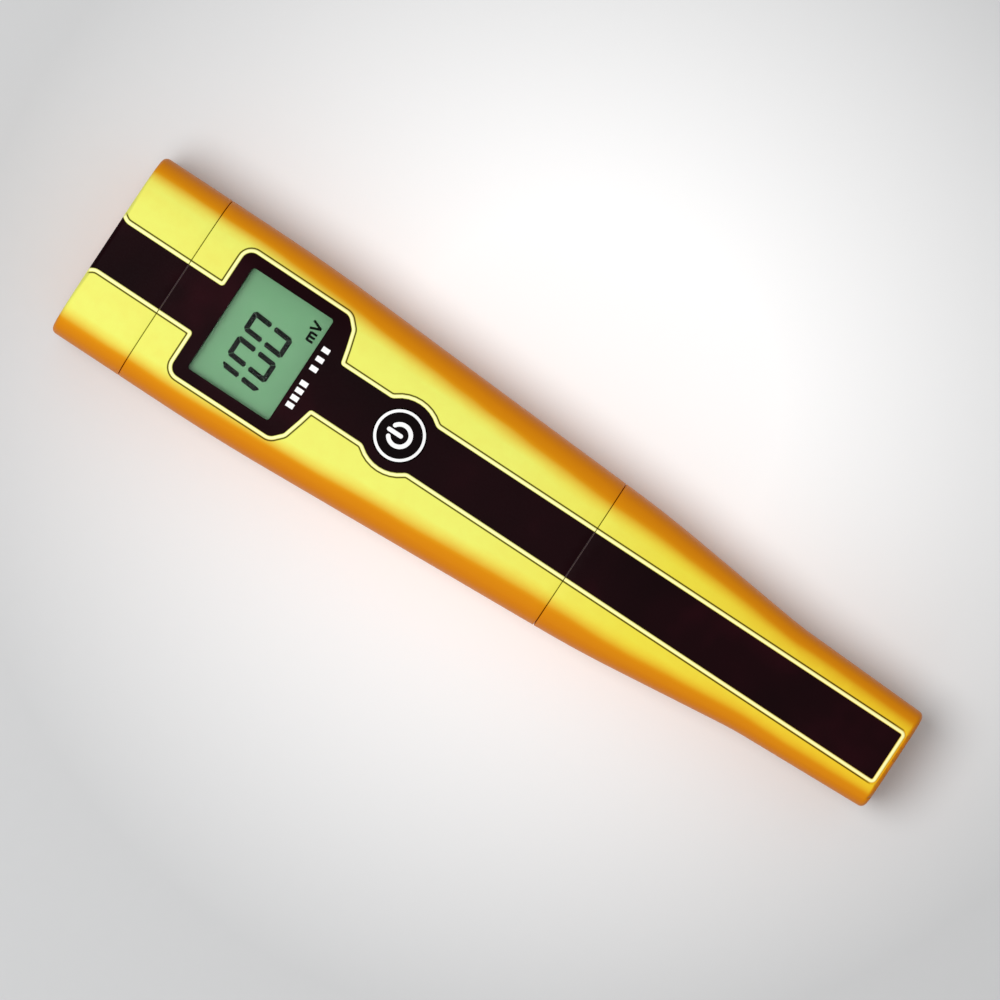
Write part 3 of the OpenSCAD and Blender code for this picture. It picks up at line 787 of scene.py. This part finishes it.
MATERIALS = {
    "case": case_material(),
    "label": label_material(),
    "print": plain("white_ink", (0.86, 0.86, 0.86), 0.45, grain=1500, shade=0.06),
    "segment": plain("lcd_segment", (0.0005, 0.0025, 0.0008), 0.5, grain=1200, specular=0.02),
    "key": plain("key_plastic", (0.004, 0.0014, 0.002), 0.5, grain=2400, shade=0.3, specular=0.02),
    "reflector": plain("lcd_reflector_film", LCD_GREEN, 0.6, grain=1800, shade=0.05, bump_by=0.05),
    "black": plain("black_abs", (0.018, 0.018, 0.02), 0.5, grain=1600, shade=0.3, bump_by=0.3),
    "rubber": plain("black_rubber", (0.012, 0.012, 0.012), 0.7, grain=1200, shade=0.3),
    "nylon": plain("natural_nylon", (0.7, 0.66, 0.55), 0.45),
    "board": plain("solder_mask", (0.01, 0.11, 0.045), 0.3, grain=700, shade=0.35, coat=0.3),
    "chip": plain("chip_epoxy", (0.02, 0.02, 0.021), 0.62, grain=2200),
    "steel": plain("plated_steel", (0.62, 0.62, 0.63), 0.3, 1, grain=1300, stretch=(1, 6, 1)),
    "cell": plain("nickel_can", (0.7, 0.69, 0.66), 0.24, 1, grain=1000, stretch=(1, 8, 1)),
    "ceramic": plain("chip_ceramic", (0.36, 0.24, 0.13), 0.5),
    "blue": plain("trimmer_blue", (0.02, 0.07, 0.3), 0.4),
    "brass": plain("contact_brass", (0.75, 0.52, 0.2), 0.26, 1, grain=1100, stretch=(1, 5, 1)),
    "red": plain("wire_red", (0.45, 0.012, 0.01), 0.45),
    "wire": plain("wire_black", (0.014, 0.014, 0.015), 0.45),
    "platinum": plain("platinum", (0.76, 0.75, 0.73), 0.16, 1, stretch=(8, 1, 1)),
    "silver": plain("silver_wire", (0.6, 0.6, 0.6), 0.35, 1),
    "junction": plain("porous_ceramic", (0.72, 0.69, 0.6), 0.85, grain=3000, bump_by=0.6),
    "potting": plain("potting_epoxy", (0.05, 0.032, 0.02), 0.35),
    "sponge": plain(
        "open_cell_sponge", (0.62, 0.52, 0.2), 0.95, grain=1400, shade=0.5, bump_by=1, depth=0.0003
    ),
    "paper": plain("rating_film", (0.5, 0.5, 0.48), 0.5, grain=1500, shade=0.08, stretch=(1, 10, 1)),
    "window": clear("window_acrylic", (0.012, 0.016, 0.013), 0.04, 0.06),
    "front_glass": clear("lcd_glass_front", (0.008, 0.016, 0.01), 0.04, 0.05),
    "rear_glass": plain(
        "lcd_glass_rear", (0.17, 0.465, 0.205), 0.5, grain=1800, shade=0.05, bump_by=0.05
    ),
    "sensor_glass": clear("sensor_glass", (0.88, 0.94, 0.96), 0.25, 0.03),
}

# Looks of the CAD nodes that stay
CAD_LOOKS = {
    "reflector": ["lcd_reflector"],
    "black": ["lcd_frame", "switch_body", "battery_carrier", "electrode_holder"],
    "rubber": ["zebra_strips", "battery_cap_seal", "protective_cap_seal", "electrode_seal"],
    "nylon": ["switch_plunger"],
    "board": ["main_board"],
    "chip": ["microcontroller", "amplifier_chip"],
    "steel": ["crystal", "board_screws", "shell_screws"],
    "cell": ["button_cell_1", "button_cell_2", "button_cell_3", "button_cell_4"],
    "ceramic": ["chip_capacitors"],
    "blue": ["trimmer_body"],
    "brass": ["trimmer_rotor", "battery_spring", "battery_contact"],
    "red": ["battery_wire_red"],
    "wire": ["battery_wire_black", "sensor_lead"],
    "sensor_glass": ["sensor_glass"],
    "platinum": ["platinum_ring"],
    "junction": ["reference_junction"],
    "silver": ["reference_wire"],
    "potting": ["electrode_plug"],
    "sponge": ["storage_sponge"],
}


def dress(piece, look, body, *nodes):
    """Gives a piece its material and its body, and hides the CAD nodes that it stands for."""
    piece.data.materials.append(MATERIALS[look])
    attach(piece, body)
    if nodes:
        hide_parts(*nodes)


# ---- Case pieces ----

# The band of painted shade beside the long edges: its width at the head, and what is added and taken off
SHADE_BAND = 6.3
SHADE_BAND_ADDED = 1.9
SHADE_BAND_TAKEN = 3.2
SHADE_BAND_RUN = 60
# Depth of the groove and height of the lip at which their painted shade and painted highlight are full
GROOVE_FULL = 0.22
LIP_FULL = 0.12
# The border lies inside this share of the half width, and no further than this from the face
BORDER_REACH = 0.77
BORDER_DEEP = 0.3


def share(value, start, run):
    """How far a value has come on its run from the start, between 0 and 1."""
    return np.clip((value - start) / run, 0, 1)


def mark_painted_light(piece, inset):
    """Stores painted light and shade on each point: shade by the long edges, down the sides and at the
    tip, a fall of light along the pen, a highlight on the lip and shade in the groove.
    """
    co = np.array([v.co for v in piece.data.vertices]) / MM
    s, y, z = co[:, 0] + LENGTH / 2, np.abs(co[:, 1]), co[:, 2]
    w = half_width(s)
    shade_band = SHADE_BAND + SHADE_BAND_ADDED * share(s, 30, SHADE_BAND_RUN) - SHADE_BAND_TAKEN * share(s, 110, SHADE_BAND_RUN)
    # Painted shade: full at the long edges and fading inward over the band, and growing down the sides
    # below the front
    edge = np.maximum(1 - share(w - y, 0, shade_band), 0.75 * share(follow(s, FRONTS) - z, 2, 6))
    # Painted shade on the rounded end of the tip
    edge = np.maximum(edge, share(s, LENGTH - 1.2, 0.9))
    over = z - front(np.stack([s, co[:, 1]], 1), inset)[:, 2]
    over = np.where((y < BORDER_REACH * w) & (np.abs(over) < BORDER_DEEP), over, 0)
    over = np.where((s < 0.01) | (s > LENGTH - 0.01), 0, over)
    painted_light = {
        "edge": edge,
        # How far along the pen a point is, for the painted fall of light
        "along": share(s, 20, 160),
        "groove": share(-over, 0, GROOVE_FULL) * share(LABEL_END + 0.2 - s, 0, 0.8),
        "lip": share(over, 0, LIP_FULL),
    }
    for name, values in painted_light.items():
        attribute = piece.data.attributes.new(name, "FLOAT", "POINT")
        attribute.data.foreach_set("value", values.astype(np.float32))


MOUTH_BEVEL = 0.3
TIP_WALL = 2.5
HOLLOW_STEP = 4


def cap(name, edge, start, end, rounds):
    """A pull-off cap: its outside with the label's pocket, its mouth and its hollow inside."""
    body = Body()
    at = stations(start, end, *rounds)
    inset = end_inset(start, end, *rounds)
    at_tip = end == LENGTH
    strips = (SEAM_STEPS, None) if at_tip else (END_STEPS, SEAM_STEPS)
    pocket = face_with_border(body, edge, inset, at, strips)
    body.fill(on_face(inset, POCKET), [pocket])
    side_grids(body, at, inset, True)
    # The shut end is flat inside its rounded edge. The label's border flares out at the battery end
    if at_tip:
        shut, mouth, away, deep = end, start, 1, end - TIP_WALL
        rim = round_row(shut, END_ROUND)
    else:
        shut, mouth, away, deep = start, end, -1, start + WALL
        rim = round_row(shut, END_ROUND, [path(edge, d)[0][1] for d, _ in BORDER[::-1]])
    body.fill(lambda flat: np.insert(flat, 0, shut, 1), [[tuple(p[1:]) for p in rim]], 2)
    # The mouth and the inside
    rows = [round_row(mouth, SEAM_ROUND, RING_HALVES), round_row(mouth, WALL - MOUTH_BEVEL)]
    rows.append(round_row(mouth + MOUTH_BEVEL * away, WALL))
    count = math.ceil(abs(deep - mouth) / HOLLOW_STEP)
    rows += [round_row(mouth + (deep - mouth) * k / count, WALL) for k in range(1, count + 1)]
    last = rows[-1]
    middle = np.array((deep, 0, last[:, 2].mean()))
    rows += [last + (middle - last) * k / 4 for k in range(1, 4)]
    body.grid(rows, closed=True)
    n = len(last)
    body.add(np.concatenate([rows[-1], [middle]]), [(i, (i + 1) % n, n) for i in range(n)])
    piece = body.make(f"{name}_shell")
    mark_painted_light(piece, inset)
    dress(piece, "case", name, name)


def circle(s, y, r, steps=64):
    a = np.linspace(0, 2 * math.pi, steps, endpoint=False)
    return np.stack([s + r * np.cos(a), y + r * np.sin(a)], 1)


def rectangle(s0, s1, half, r):
    """A closed rectangle round y = 0 with rounded corners."""
    m = (s0 + s1) / 2
    corners = [(s0, half, r), (s0, -half, r), (s1, -half, r), (s1, half, r)]
    return path([(m, half, 0), *corners, (m, half, 0)])[:-1]


window_low, window_high = cad_box("display_window")
key_low, key_high = cad_box("power_key")
PANE_EDGE = 1.5
VIEW = (window_low[0] + PANE_EDGE, window_high[0] - PANE_EDGE, window_high[1] - PANE_EDGE)
VIEW_R = 0.7
VIEW_LOOP = rectangle(*VIEW, VIEW_R)
LINER = 0.35
OPENING_LOOP = rectangle(VIEW[0] - LINER, VIEW[1] + LINER, VIEW[2] + LINER, VIEW_R + LINER)
KEY_FLANGE = 1
KEY_R = (key_high[1] - key_low[1]) / 2 - KEY_FLANGE
KEY_CLEAR = 0.13
KEY_LOOP = circle(KEY_S, 0, KEY_R + KEY_CLEAR)

# The necks: bevels at their tips and feet, walls, and the seals' distances from the seams
NECK_TIP = 0.35
NECK_FOOT = 0.15
NECK_WALL = 2
SHOULDER = 1.6
SEAM_FACE = 0.9
PROBE_SEAL = 3.4
BATTERY_SEAL = 5.2
CAVITY_ROWS = 48
ELECTRODE_R = 6.1


def hole_row(s, count, upper):
    """A half circle round the electrode, with as many points as a row."""
    a = np.radians(np.linspace(0, 180, count) if upper else np.linspace(180, 360, count))
    y, z = ELECTRODE_R * np.cos(a), AXIS_Z + ELECTRODE_R * np.sin(a)
    return np.stack([np.full(count, float(s)), y, z], 1)


def seal_groove(s):
    end = s + SEAL_W
    return [(s, NECK_INSET), (s, SEAL_INSET), (end, SEAL_INSET), (end, NECK_INSET)]


def neck_profile():
    """(s, inset) rings of a shell half from its seam with the long cap, inside, to its other seam.

    The electrode's hole has no inset, and the cavity has the wall as its inset.
    """
    probe_seal, battery_seal = SEAM_PROBE + PROBE_SEAL, SEAM_BATTERY - BATTERY_SEAL
    low, high = SEAM_BATTERY + SHOULDER, SEAM_PROBE - NECK_WALL
    return [
        (SEAM_PROBE, SEAM_FACE), (SEAM_PROBE, NECK_INSET - NECK_FOOT),
        (SEAM_PROBE + NECK_FOOT, NECK_INSET), (probe_seal - 1.5, NECK_INSET),
        *seal_groove(probe_seal),
        (PROBE_NECK - NECK_TIP, NECK_INSET), (PROBE_NECK, NECK_INSET + NECK_TIP),
        (PROBE_NECK, None), (PROBE_NECK - NECK_WALL, None),
        (PROBE_NECK - NECK_WALL, NECK_INNER), (high, NECK_INNER),
        *[(s, WALL) for s in np.linspace(high, low, CAVITY_ROWS)],
        (low, NECK_INNER), (BATTERY_NECK + 4, NECK_INNER), (BATTERY_NECK, NECK_INNER),
        (BATTERY_NECK, NECK_INSET + NECK_TIP), (BATTERY_NECK + NECK_TIP, NECK_INSET),
        *seal_groove(battery_seal),
        (SEAM_BATTERY - NECK_FOOT, NECK_INSET), (SEAM_BATTERY, NECK_INSET - NECK_FOOT),
        (SEAM_BATTERY, SEAM_FACE),
    ]


def shell(name, upper, node):
    """Half of the body's case: outside, necks, cavity and parting faces."""
    body = Body()
    edge, start, end, rounds = BODY
    at = stations(start, end, *rounds)
    inset = end_inset(start, end, *rounds)
    row = upper_row if upper else lower_row
    side = slice(0, len(SIDE_ANGLES))
    if upper:
        pocket = face_with_border(body, edge, inset, at, (SEAM_STEPS, SEAM_STEPS))
        body.fill(on_face(inset, POCKET), [pocket, OPENING_LOOP, KEY_LOOP])
        side_grids(body, at, inset, False)
        halves = {start: RING_HALVES, end: RING_HALVES}
        outer = [parted(upper_row(s, float(inset(s)), halves.get(s))) for s in at]
    else:
        outer = [parted(lower_row(s, float(inset(s)))) for s in at]
        back_zone(body, at, inset)
        side_grids(body, at, inset, False, -1)
    count = len(outer[0])
    profile = neck_profile()
    necks = [hole_row(s, count, upper) if d is None else row(s, d) for s, d in profile]
    rows = [outer[-1], *necks, outer[0]]
    hollow = [False, *(d == WALL for _, d in profile), False]
    for k in range(len(rows) - 1):
        if upper and hollow[k] and hollow[k + 1]:
            body.grid([r[side] for r in rows[k : k + 2]])
            body.grid([r[::-1][side] for r in rows[k : k + 2]])
        else:
            body.grid(rows[k : k + 2])
    if upper:
        inner = [r for r, found in zip(rows, hollow) if found]
        last = len(SIDE_ANGLES) - 1
        loop = [tuple(p[:2]) for p in inner[0][last : count - last]]
        loop += [tuple(r[count - 1 - last][:2]) for r in inner[1:]]
        loop += [tuple(p[:2]) for p in inner[-1][last : count - last - 1][::-1]]
        loop += [tuple(r[last][:2]) for r in inner[1:-1][::-1]]
        body.fill(on_face(WALL), [loop, OPENING_LOOP, KEY_LOOP], 2.5)
        for hole in (OPENING_LOOP, KEY_LOOP):
            body.grid([front(hole, inset, POCKET), front(hole, WALL)], closed=True)
    # Parting faces, where the two halves meet
    for i in (0, -1):
        loop = [tuple(r[i][:2]) for r in [*outer, *necks]]
        body.fill(level(AXIS_Z), [loop], 0)
    piece = body.make(name)
    mark_painted_light(piece, inset)
    dress(piece, "case", "meter", node)


SCREW_R = 2.7
SCREW_SEAT = 5.0
SCREW_HEAD = 2.4
SCREW_BORE_R = 1.4
SCREW_BORE = 4
screw_low, screw_high = cad_box("shell_screws")
SCREWS = [(screw_low[0] + SCREW_HEAD, 15.0), (screw_high[0] - SCREW_HEAD, 10.8)]
trimmer_low, trimmer_high = cad_box("trimmer_rotor")
TRIMMER_S = (trimmer_low[0] + trimmer_high[0]) / 2
TRIMMER_R = (trimmer_high[0] - trimmer_low[0]) / 2
TRIMMER_TUBE_R = 3.2
TRIMMER_TUBE_TOP = 10.0
rating_low, rating_high = cad_box("rating_label")
RATING_CLEAR = 0.2
RATING_R = 1.2
RATING_LOOP = rectangle(
    rating_low[0] - RATING_CLEAR, rating_high[0] + RATING_CLEAR, rating_high[1] + RATING_CLEAR, RATING_R
)
RATING_DEPTH = 0.3
HOLE_STEPS = 48


def back_zone(body, at, inset):
    """The back between its curved edges, with the screw recesses, trimmer hole and rating recess."""
    columns = curve(np.cos(np.radians(BACK_ANGLES)))

    def across(s, side):
        return [(s, y * side) for y in drawn_in(s, inset) * columns]

    def run(side):
        return [(s, zone_half(s, inset) * side) for s in at[1:-1]]

    loop = across(at[0], 1) + across(at[0], -1)[-2::-1] + run(-1)
    loop += across(at[-1], -1) + across(at[-1], 1)[-2::-1] + run(1)[::-1]
    screws = [circle(s, y * side, SCREW_R, HOLE_STEPS) for s, y in SCREWS for side in (1, -1)]
    trimmer = circle(TRIMMER_S, 0, TRIMMER_R, HOLE_STEPS)
    lines = [[(s, side * KINK * drawn_in(s, inset)) for s in at[8:-8]] for side in (1, -1)]
    body.fill(on_back(inset), [loop, *screws, trimmer, RATING_LOOP], lines=lines)
    body.fill(on_back(0, RATING_DEPTH), [RATING_LOOP])
    body.grid([back(RATING_LOOP, 0), back(RATING_LOOP, 0, RATING_DEPTH)], closed=True)
    for ring in screws:
        centre = ring.mean(0)
        seat = level(SCREW_SEAT)(ring)
        bore = level(SCREW_SEAT)(centre + (ring - centre) * SCREW_BORE_R / SCREW_R)
        body.grid([back(ring), seat, bore, bore + (0, 0, SCREW_BORE)], closed=True)
    tube = circle(TRIMMER_S, 0, TRIMMER_TUBE_R, HOLE_STEPS)
    tops = [level(TRIMMER_TUBE_TOP)(ring) for ring in (trimmer, tube)]
    body.grid([back(trimmer), *tops, level(WALL)(tube)], closed=True)


cap("battery_cap", *BATTERY_CAP)
cap("protective_cap", *PROTECTIVE_CAP)
shell("front_case_shell", True, "front_shell")
shell("rear_case_shell", False, "rear_shell")

# ---- Labels, window and prints ----

FILM_TOP = -0.05
FILM_LOW = -0.4
FILM_CLEAR = 0.03
# A cap's film reaches this far past its mouth, and the body's stops this short of the seams
SEAM_REACH = 0.09
SEAM_SHORT = 0.01
INK = 0.02
INK_SUNK = 0.05


def label(name, edge, start, end, rounds, reach, body, node, holes=()):
    """The dark film: the shape of its pocket, a hair smaller, and as much longer as reach says."""
    line = path(edge, -FILM_CLEAR)
    at_start, at_end = line[:, 0] < start + 0.001, line[:, 0] > end - 0.001
    line[:, 0] += np.where(at_end, reach[1], 0) - np.where(at_start, reach[0], 0)
    other = mirrored(line)[1:] if end == LENGTH else mirrored(line)
    loop = [*map(tuple, line), *map(tuple, other)]
    inset = end_inset(start, end, *rounds)
    bent = rounding(start, rounds[0], 1) + rounding(end, rounds[1], -1)
    surfaces = on_face(inset, FILM_TOP), on_face(inset, FILM_LOW)
    dress(plate(name, [loop, *holes], *surfaces, extra=across_points(bent)), "label", body, node)


label("battery_cap_film", *BATTERY_CAP, (0, SEAM_REACH), "battery_cap", "battery_cap_label")
label("body_film", *BODY, (-SEAM_SHORT, -SEAM_SHORT), "meter", "body_label", [VIEW_LOOP, KEY_LOOP])
label("protective_cap_film", *PROTECTIVE_CAP, (SEAM_REACH, 0), "protective_cap",
      "protective_cap_label")

# The film is folded down round the window, and hides the wall's cut edge
wall_inside = on_face(0, 0.15 - WALL)
liner = plate("window_liner", [OPENING_LOOP, VIEW_LOOP], on_face(0, FILM_LOW - 0.01), wall_inside)
dress(liner, "label", "meter")

PANE_CLEAR = 0.03
pane_loop = rectangle(VIEW[0] + PANE_CLEAR, VIEW[1] - PANE_CLEAR, VIEW[2] - PANE_CLEAR, 0.68)
pane = plate("window_pane", [pane_loop], on_face(0, FILM_TOP - 0.02), wall_inside)
dress(pane, "window", "meter", "display_window")

# A row of plain white bars where the real label has lettering
BARS_S = (48.0, 49.7)
BAR_PLACES = (-7.0, -5.3, -3.6, -1.9, 1.7, 3.9, 6.1)
LETTER_HALF = 0.55
for i, y in enumerate(BAR_PLACES):
    low, high = y - LETTER_HALF, y + LETTER_HALF
    bar = [(BARS_S[0], low), (BARS_S[1], low), (BARS_S[1], high), (BARS_S[0], high)]
    ink = on_face(0, FILM_TOP + INK), on_face(0, FILM_TOP - INK_SUNK)
    dress(plate(f"label_bar_{i + 1}", [np.array(bar)], *ink, 1.0), "print", "meter")

# ---- Power key ----

KEY_DOME = 0.12
KEY_ROUND = 0.3
KEY_SIDE = 1.6
FLANGE_T = 0.8
STEM_R = 1.6
KEY_TOP = key_high[2]
KEY_FACE = KEY_TOP - 0.02
KEY_FOOT = key_low[2]


def dome(points, lift=0):
    """Puts (s, y) points on the key's face."""
    s, y = np.asarray(points, float).T
    r2 = ((s - KEY_S) ** 2 + y**2) / KEY_R**2
    return np.stack([s, y, KEY_FACE - KEY_DOME * r2 + lift], 1)


inner_r = KEY_R - KEY_ROUND
edge_z = KEY_FACE - KEY_DOME - KEY_ROUND
flange_top = KEY_TOP - KEY_ROUND - KEY_SIDE
flange_low = flange_top - FLANGE_T
key_turns = np.radians((25, 50, 75, 90))
key_profile = [
    (0, KEY_FACE),
    *[(r, KEY_FACE - KEY_DOME * (r / KEY_R) ** 2) for r in np.linspace(0.6, inner_r, 10)],
    *[(inner_r + KEY_ROUND * math.sin(a), edge_z + KEY_ROUND * math.cos(a)) for a in key_turns],
    (KEY_R, flange_top), (KEY_R + KEY_FLANGE, flange_top), (KEY_R + KEY_FLANGE, flange_low),
    (STEM_R, flange_low), (STEM_R, KEY_FOOT), (0, KEY_FOOT),
]
dress(turned("key_cap", key_profile, KEY_S), "key", "power_key", "power_key")

RING_OUT, RING_IN = 5.3, 4.7
ICON_OUT, ICON_IN, ICON_GAP = 2.72, 1.82, 34
BAR_HALF, BAR_OUT, BAR_IN = 0.44, 2.5, 0.3


def arc(centre, r, start, turn=180, steps=11):
    """Points of an arc from the angle start, in degrees, counter-clockwise."""
    a = np.radians(start + np.linspace(0, turn, steps))
    return np.stack([centre[0] + r * np.cos(a), centre[1] + r * np.sin(a)], 1)


def key_print(name, loops):
    """White print, a thin layer on the key's face."""
    made = plate(name, loops, lambda p: dome(p, INK), lambda p: dome(p, -INK_SUNK), 0.9)
    dress(made, "print", "power_key")


key_print("key_ring_print", [circle(KEY_S, 0, RING_OUT, 96), circle(KEY_S, 0, RING_IN, 96)])
first, sweep = 180 + ICON_GAP, 360 - 2 * ICON_GAP
outer_arc, inner_arc = (arc((KEY_S, 0), r, first, sweep, 49) for r in (ICON_OUT, ICON_IN))
near, far = ((outer_arc[i] + inner_arc[i]) / 2 for i in (0, -1))
thick = (ICON_OUT - ICON_IN) / 2
far_end = arc(far, thick, first + sweep)[1:-1]
near_end = arc(near, thick, first + 180)[1:-1]
key_print("key_arc_print", [np.concatenate([outer_arc, far_end, inner_arc[::-1], near_end])])
bar_ends = arc((KEY_S - BAR_OUT, 0), BAR_HALF, 90), arc((KEY_S + BAR_IN, 0), BAR_HALF, -90)
key_print("key_bar_print", [np.concatenate(bar_ends)])

# ---- Display segments ----

GLASS_Z = cad_box("lcd_front_glass")[0][2]
SEGMENT_T = 0.02
SLANT = math.tan(math.radians(5))


def segment(name, points):
    """One dark segment between the display's two glasses."""
    top, low = level(GLASS_Z + SEGMENT_T), level(GLASS_Z - SEGMENT_T)
    dress(plate(name, [np.array(points)], top, low, 0), "segment", "meter")


DIGIT_TOP, DIGIT_FOOT = 32.4, 42.2
DIGIT_W = 4.7
BAR_T = 1.1
BAR_GAP = 0.02
MIDDLE_GAP = 0.38
CORNER_CUT = 0.6
TAPER = 0.25


def digit_point(left, u, v):
    """A point of a digit: u across it along +Y, v down it along the pen."""
    s = DIGIT_TOP + v
    return (s, left + u + (DIGIT_FOOT - s) * SLANT)


def seven_segment(name, left, lit):
    """A digit of slanted bars; lit names the bars, from a at the top clockwise to f."""
    h, w, t, g, c = DIGIT_FOOT - DIGIT_TOP, DIGIT_W, BAR_T, BAR_GAP, CORNER_CUT
    m, half = h / 2 - MIDDLE_GAP, c / 2
    upright = [(0, c), (half - g, half + g), (t, t + g), (t, m - TAPER), (t / 2, m), (0, m - TAPER)]
    flat = [(half + g, half - g), (c, 0), (w - c, 0), (w - half - g, half - g), (w - t - g, t), (t + g, t)]
    shapes = {
        "a": flat,
        "d": [(u, h - v) for u, v in flat],
        "f": upright,
        "e": [(u, h - v) for u, v in upright],
        "b": [(w - u, v) for u, v in upright],
        "c": [(w - u, h - v) for u, v in upright],
    }
    for bar_name in lit:
        segment(f"{name}_{bar_name}", [digit_point(left, u, v) for u, v in shapes[bar_name]])


seven_segment("digit_hundreds", -12.4, "bc")
seven_segment("digit_tens", -6.3, "abcdef")
seven_segment("digit_units", -0.4, "abcdef")


def stroke(name, a, b):
    """A straight stroke between two points of the display."""
    a, b = np.array(a, float), np.array(b, float)
    side = unit(b - a)[::-1] * (-1, 1) * UNIT_T / 2
    segment(name, [a + side, b + side, b - side, a - side])


# The unit, in plain strokes: a small m and a large V
UNIT_TOP, UNIT_FOOT = 43.5, 45.7
UNIT_T = 0.52
SMALL_TOP = UNIT_TOP + 0.75
for i, y in enumerate((5.9, 6.75, 7.6)):
    stroke(f"unit_m_leg_{i + 1}", (SMALL_TOP, y), (UNIT_FOOT, y))
stroke("unit_m_bar", (SMALL_TOP, 5.75), (SMALL_TOP, 7.75))
stroke("unit_v_left", (UNIT_TOP, 8.2), (UNIT_FOOT, 9.05))
stroke("unit_v_right", (UNIT_TOP, 9.9), (UNIT_FOOT, 9.05))

# ---- Display glass ----

GLASS_GAP = 0.02
GLASS_EDGE = 0.12
GLASS_R = 0.3


def glass(name, look, node):
    """One sheet of the display, with ground edges, clear of its neighbours by a hair."""
    low, high = cad_box(node)
    z0, z1 = low[2] + GLASS_GAP, high[2] - GLASS_GAP
    outer, inner = (
        rectangle(low[0] + d, high[0] - d, high[1] - d, GLASS_R - d) for d in (0, GLASS_EDGE)
    )
    body = Body()
    sheet = [(inner, z0), (outer, z0 + GLASS_EDGE), (outer, z1 - GLASS_EDGE), (inner, z1)]
    body.grid([level(z)(loop) for loop, z in sheet], closed=True)
    for z in (z0, z1):
        body.fill(level(z), [inner], 4)
    dress(body.make(name), look, "meter", node)


glass("display_front_glass", "front_glass", "lcd_front_glass")
glass("display_rear_glass", "rear_glass", "lcd_rear_glass")

# ---- Back ----

rating = plate(
    "rating_film", [rectangle(rating_low[0], rating_high[0], rating_high[1], 1.1)],
    on_back(0, RATING_DEPTH), on_back(0, 0.05), 4,
)
dress(rating, "paper", "meter", "rating_label")

# ---- CAD nodes that stay ----

for look, names in CAD_LOOKS.items():
    for node in (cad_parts[name] for name in names):
        node.data.materials.clear()
        node.data.materials.append(MATERIALS[look])
        for polygon in node.data.polygons:
            polygon.use_smooth = True
        with bpy.context.temp_override(
            object=node, active_object=node, selected_objects=[node], selected_editable_objects=[node]
        ):
            bpy.ops.object.shade_smooth_by_angle(angle=math.radians(30))

# ---- Stage, lights and camera ----

FLOOR = 3
PAPER = (0.55, 0.555, 0.56)
# The paper's colour in the painted pool of light, and the pool's size and place
PAPER_LIT = (0.98, 0.98, 0.98)
LIGHT_POOL_SCALE = (6.2, 6.2, 6.2)
LIGHT_POOL_PLACE = (-0.02, -0.16, 0)


def floor_material():
    """Pale paper with a painted pool of light, brightest under the pen."""
    look = Look("floor_paper")
    spot = look.node("Mapping", Vector=look.place(), Scale=LIGHT_POOL_SCALE, Location=LIGHT_POOL_PLACE)
    ball = look.node("TexGradient", Vector=spot.outputs["Vector"])
    ball.gradient_type = "SPHERICAL"
    # A painted pool of light round the pen
    light_pool = look.spread(ball.outputs["Fac"], 0, 1, 0.2, 0.75)
    look.surface(look.mix(light_pool, PAPER, PAPER_LIT), look.spread(look.noise(300), 0.75, 0.85), 0.5)
    return look.made


# The lens sees this many millimetres of the pen's axis plane, turned by the photo's tilt
PHOTO_SPAN = 202.3
TILT = math.radians(33.4)
LENS = 300
SENSOR = 36
AIM_X, AIM_Y = -0.00044, 0.00031
distance = PHOTO_SPAN * LENS / SENSOR * MM
camera_data = bpy.data.cameras.new("camera")
camera_data.lens = LENS
camera_data.sensor_width = SENSOR
camera_data.clip_end = 20
camera = in_scene("camera", camera_data)
camera.location = (AIM_X, AIM_Y, AXIS_Z * MM + distance)
camera.rotation_euler = (0, 0, TILT)
bpy.context.scene.camera = camera

floor_mesh = bpy.data.meshes.new("floor")
corners = [(-FLOOR, -FLOOR, 0), (FLOOR, -FLOOR, 0), (FLOOR, FLOOR, 0), (-FLOOR, FLOOR, 0)]
floor_mesh.from_pydata(corners, [], [(0, 1, 2, 3)])
floor = in_scene("floor", floor_mesh)
floor.data.materials.append(floor_material())


def area_light(name, place, aim, size, power):
    """A round lamp that the camera doesn't see."""
    data = bpy.data.lights.new(name, "AREA")
    data.shape = "DISK"
    data.size = size
    data.energy = power
    light = in_scene(name, data)
    light.location = place
    light.rotation_euler = (Vector(aim) - Vector(place)).to_track_quat("-Z", "Y").to_euler()
    light.visible_camera = False


area_light("overhead", (-0.22, -0.14, 0.75), (0, 0, 0), 0.5, 4.1)
area_light("side_fill", (0.1, -0.9, 0.35), (0, 0, 0.01), 0.6, 0.7)

world = bpy.data.worlds.new("studio")
bpy.context.scene.world = world
world.use_nodes = True
background = world.node_tree.nodes["Background"]
background.inputs["Color"].default_value = (1, 1, 1, 1)
background.inputs["Strength"].default_value = 0.5
bpy.context.scene.view_settings.view_transform = "Standard"
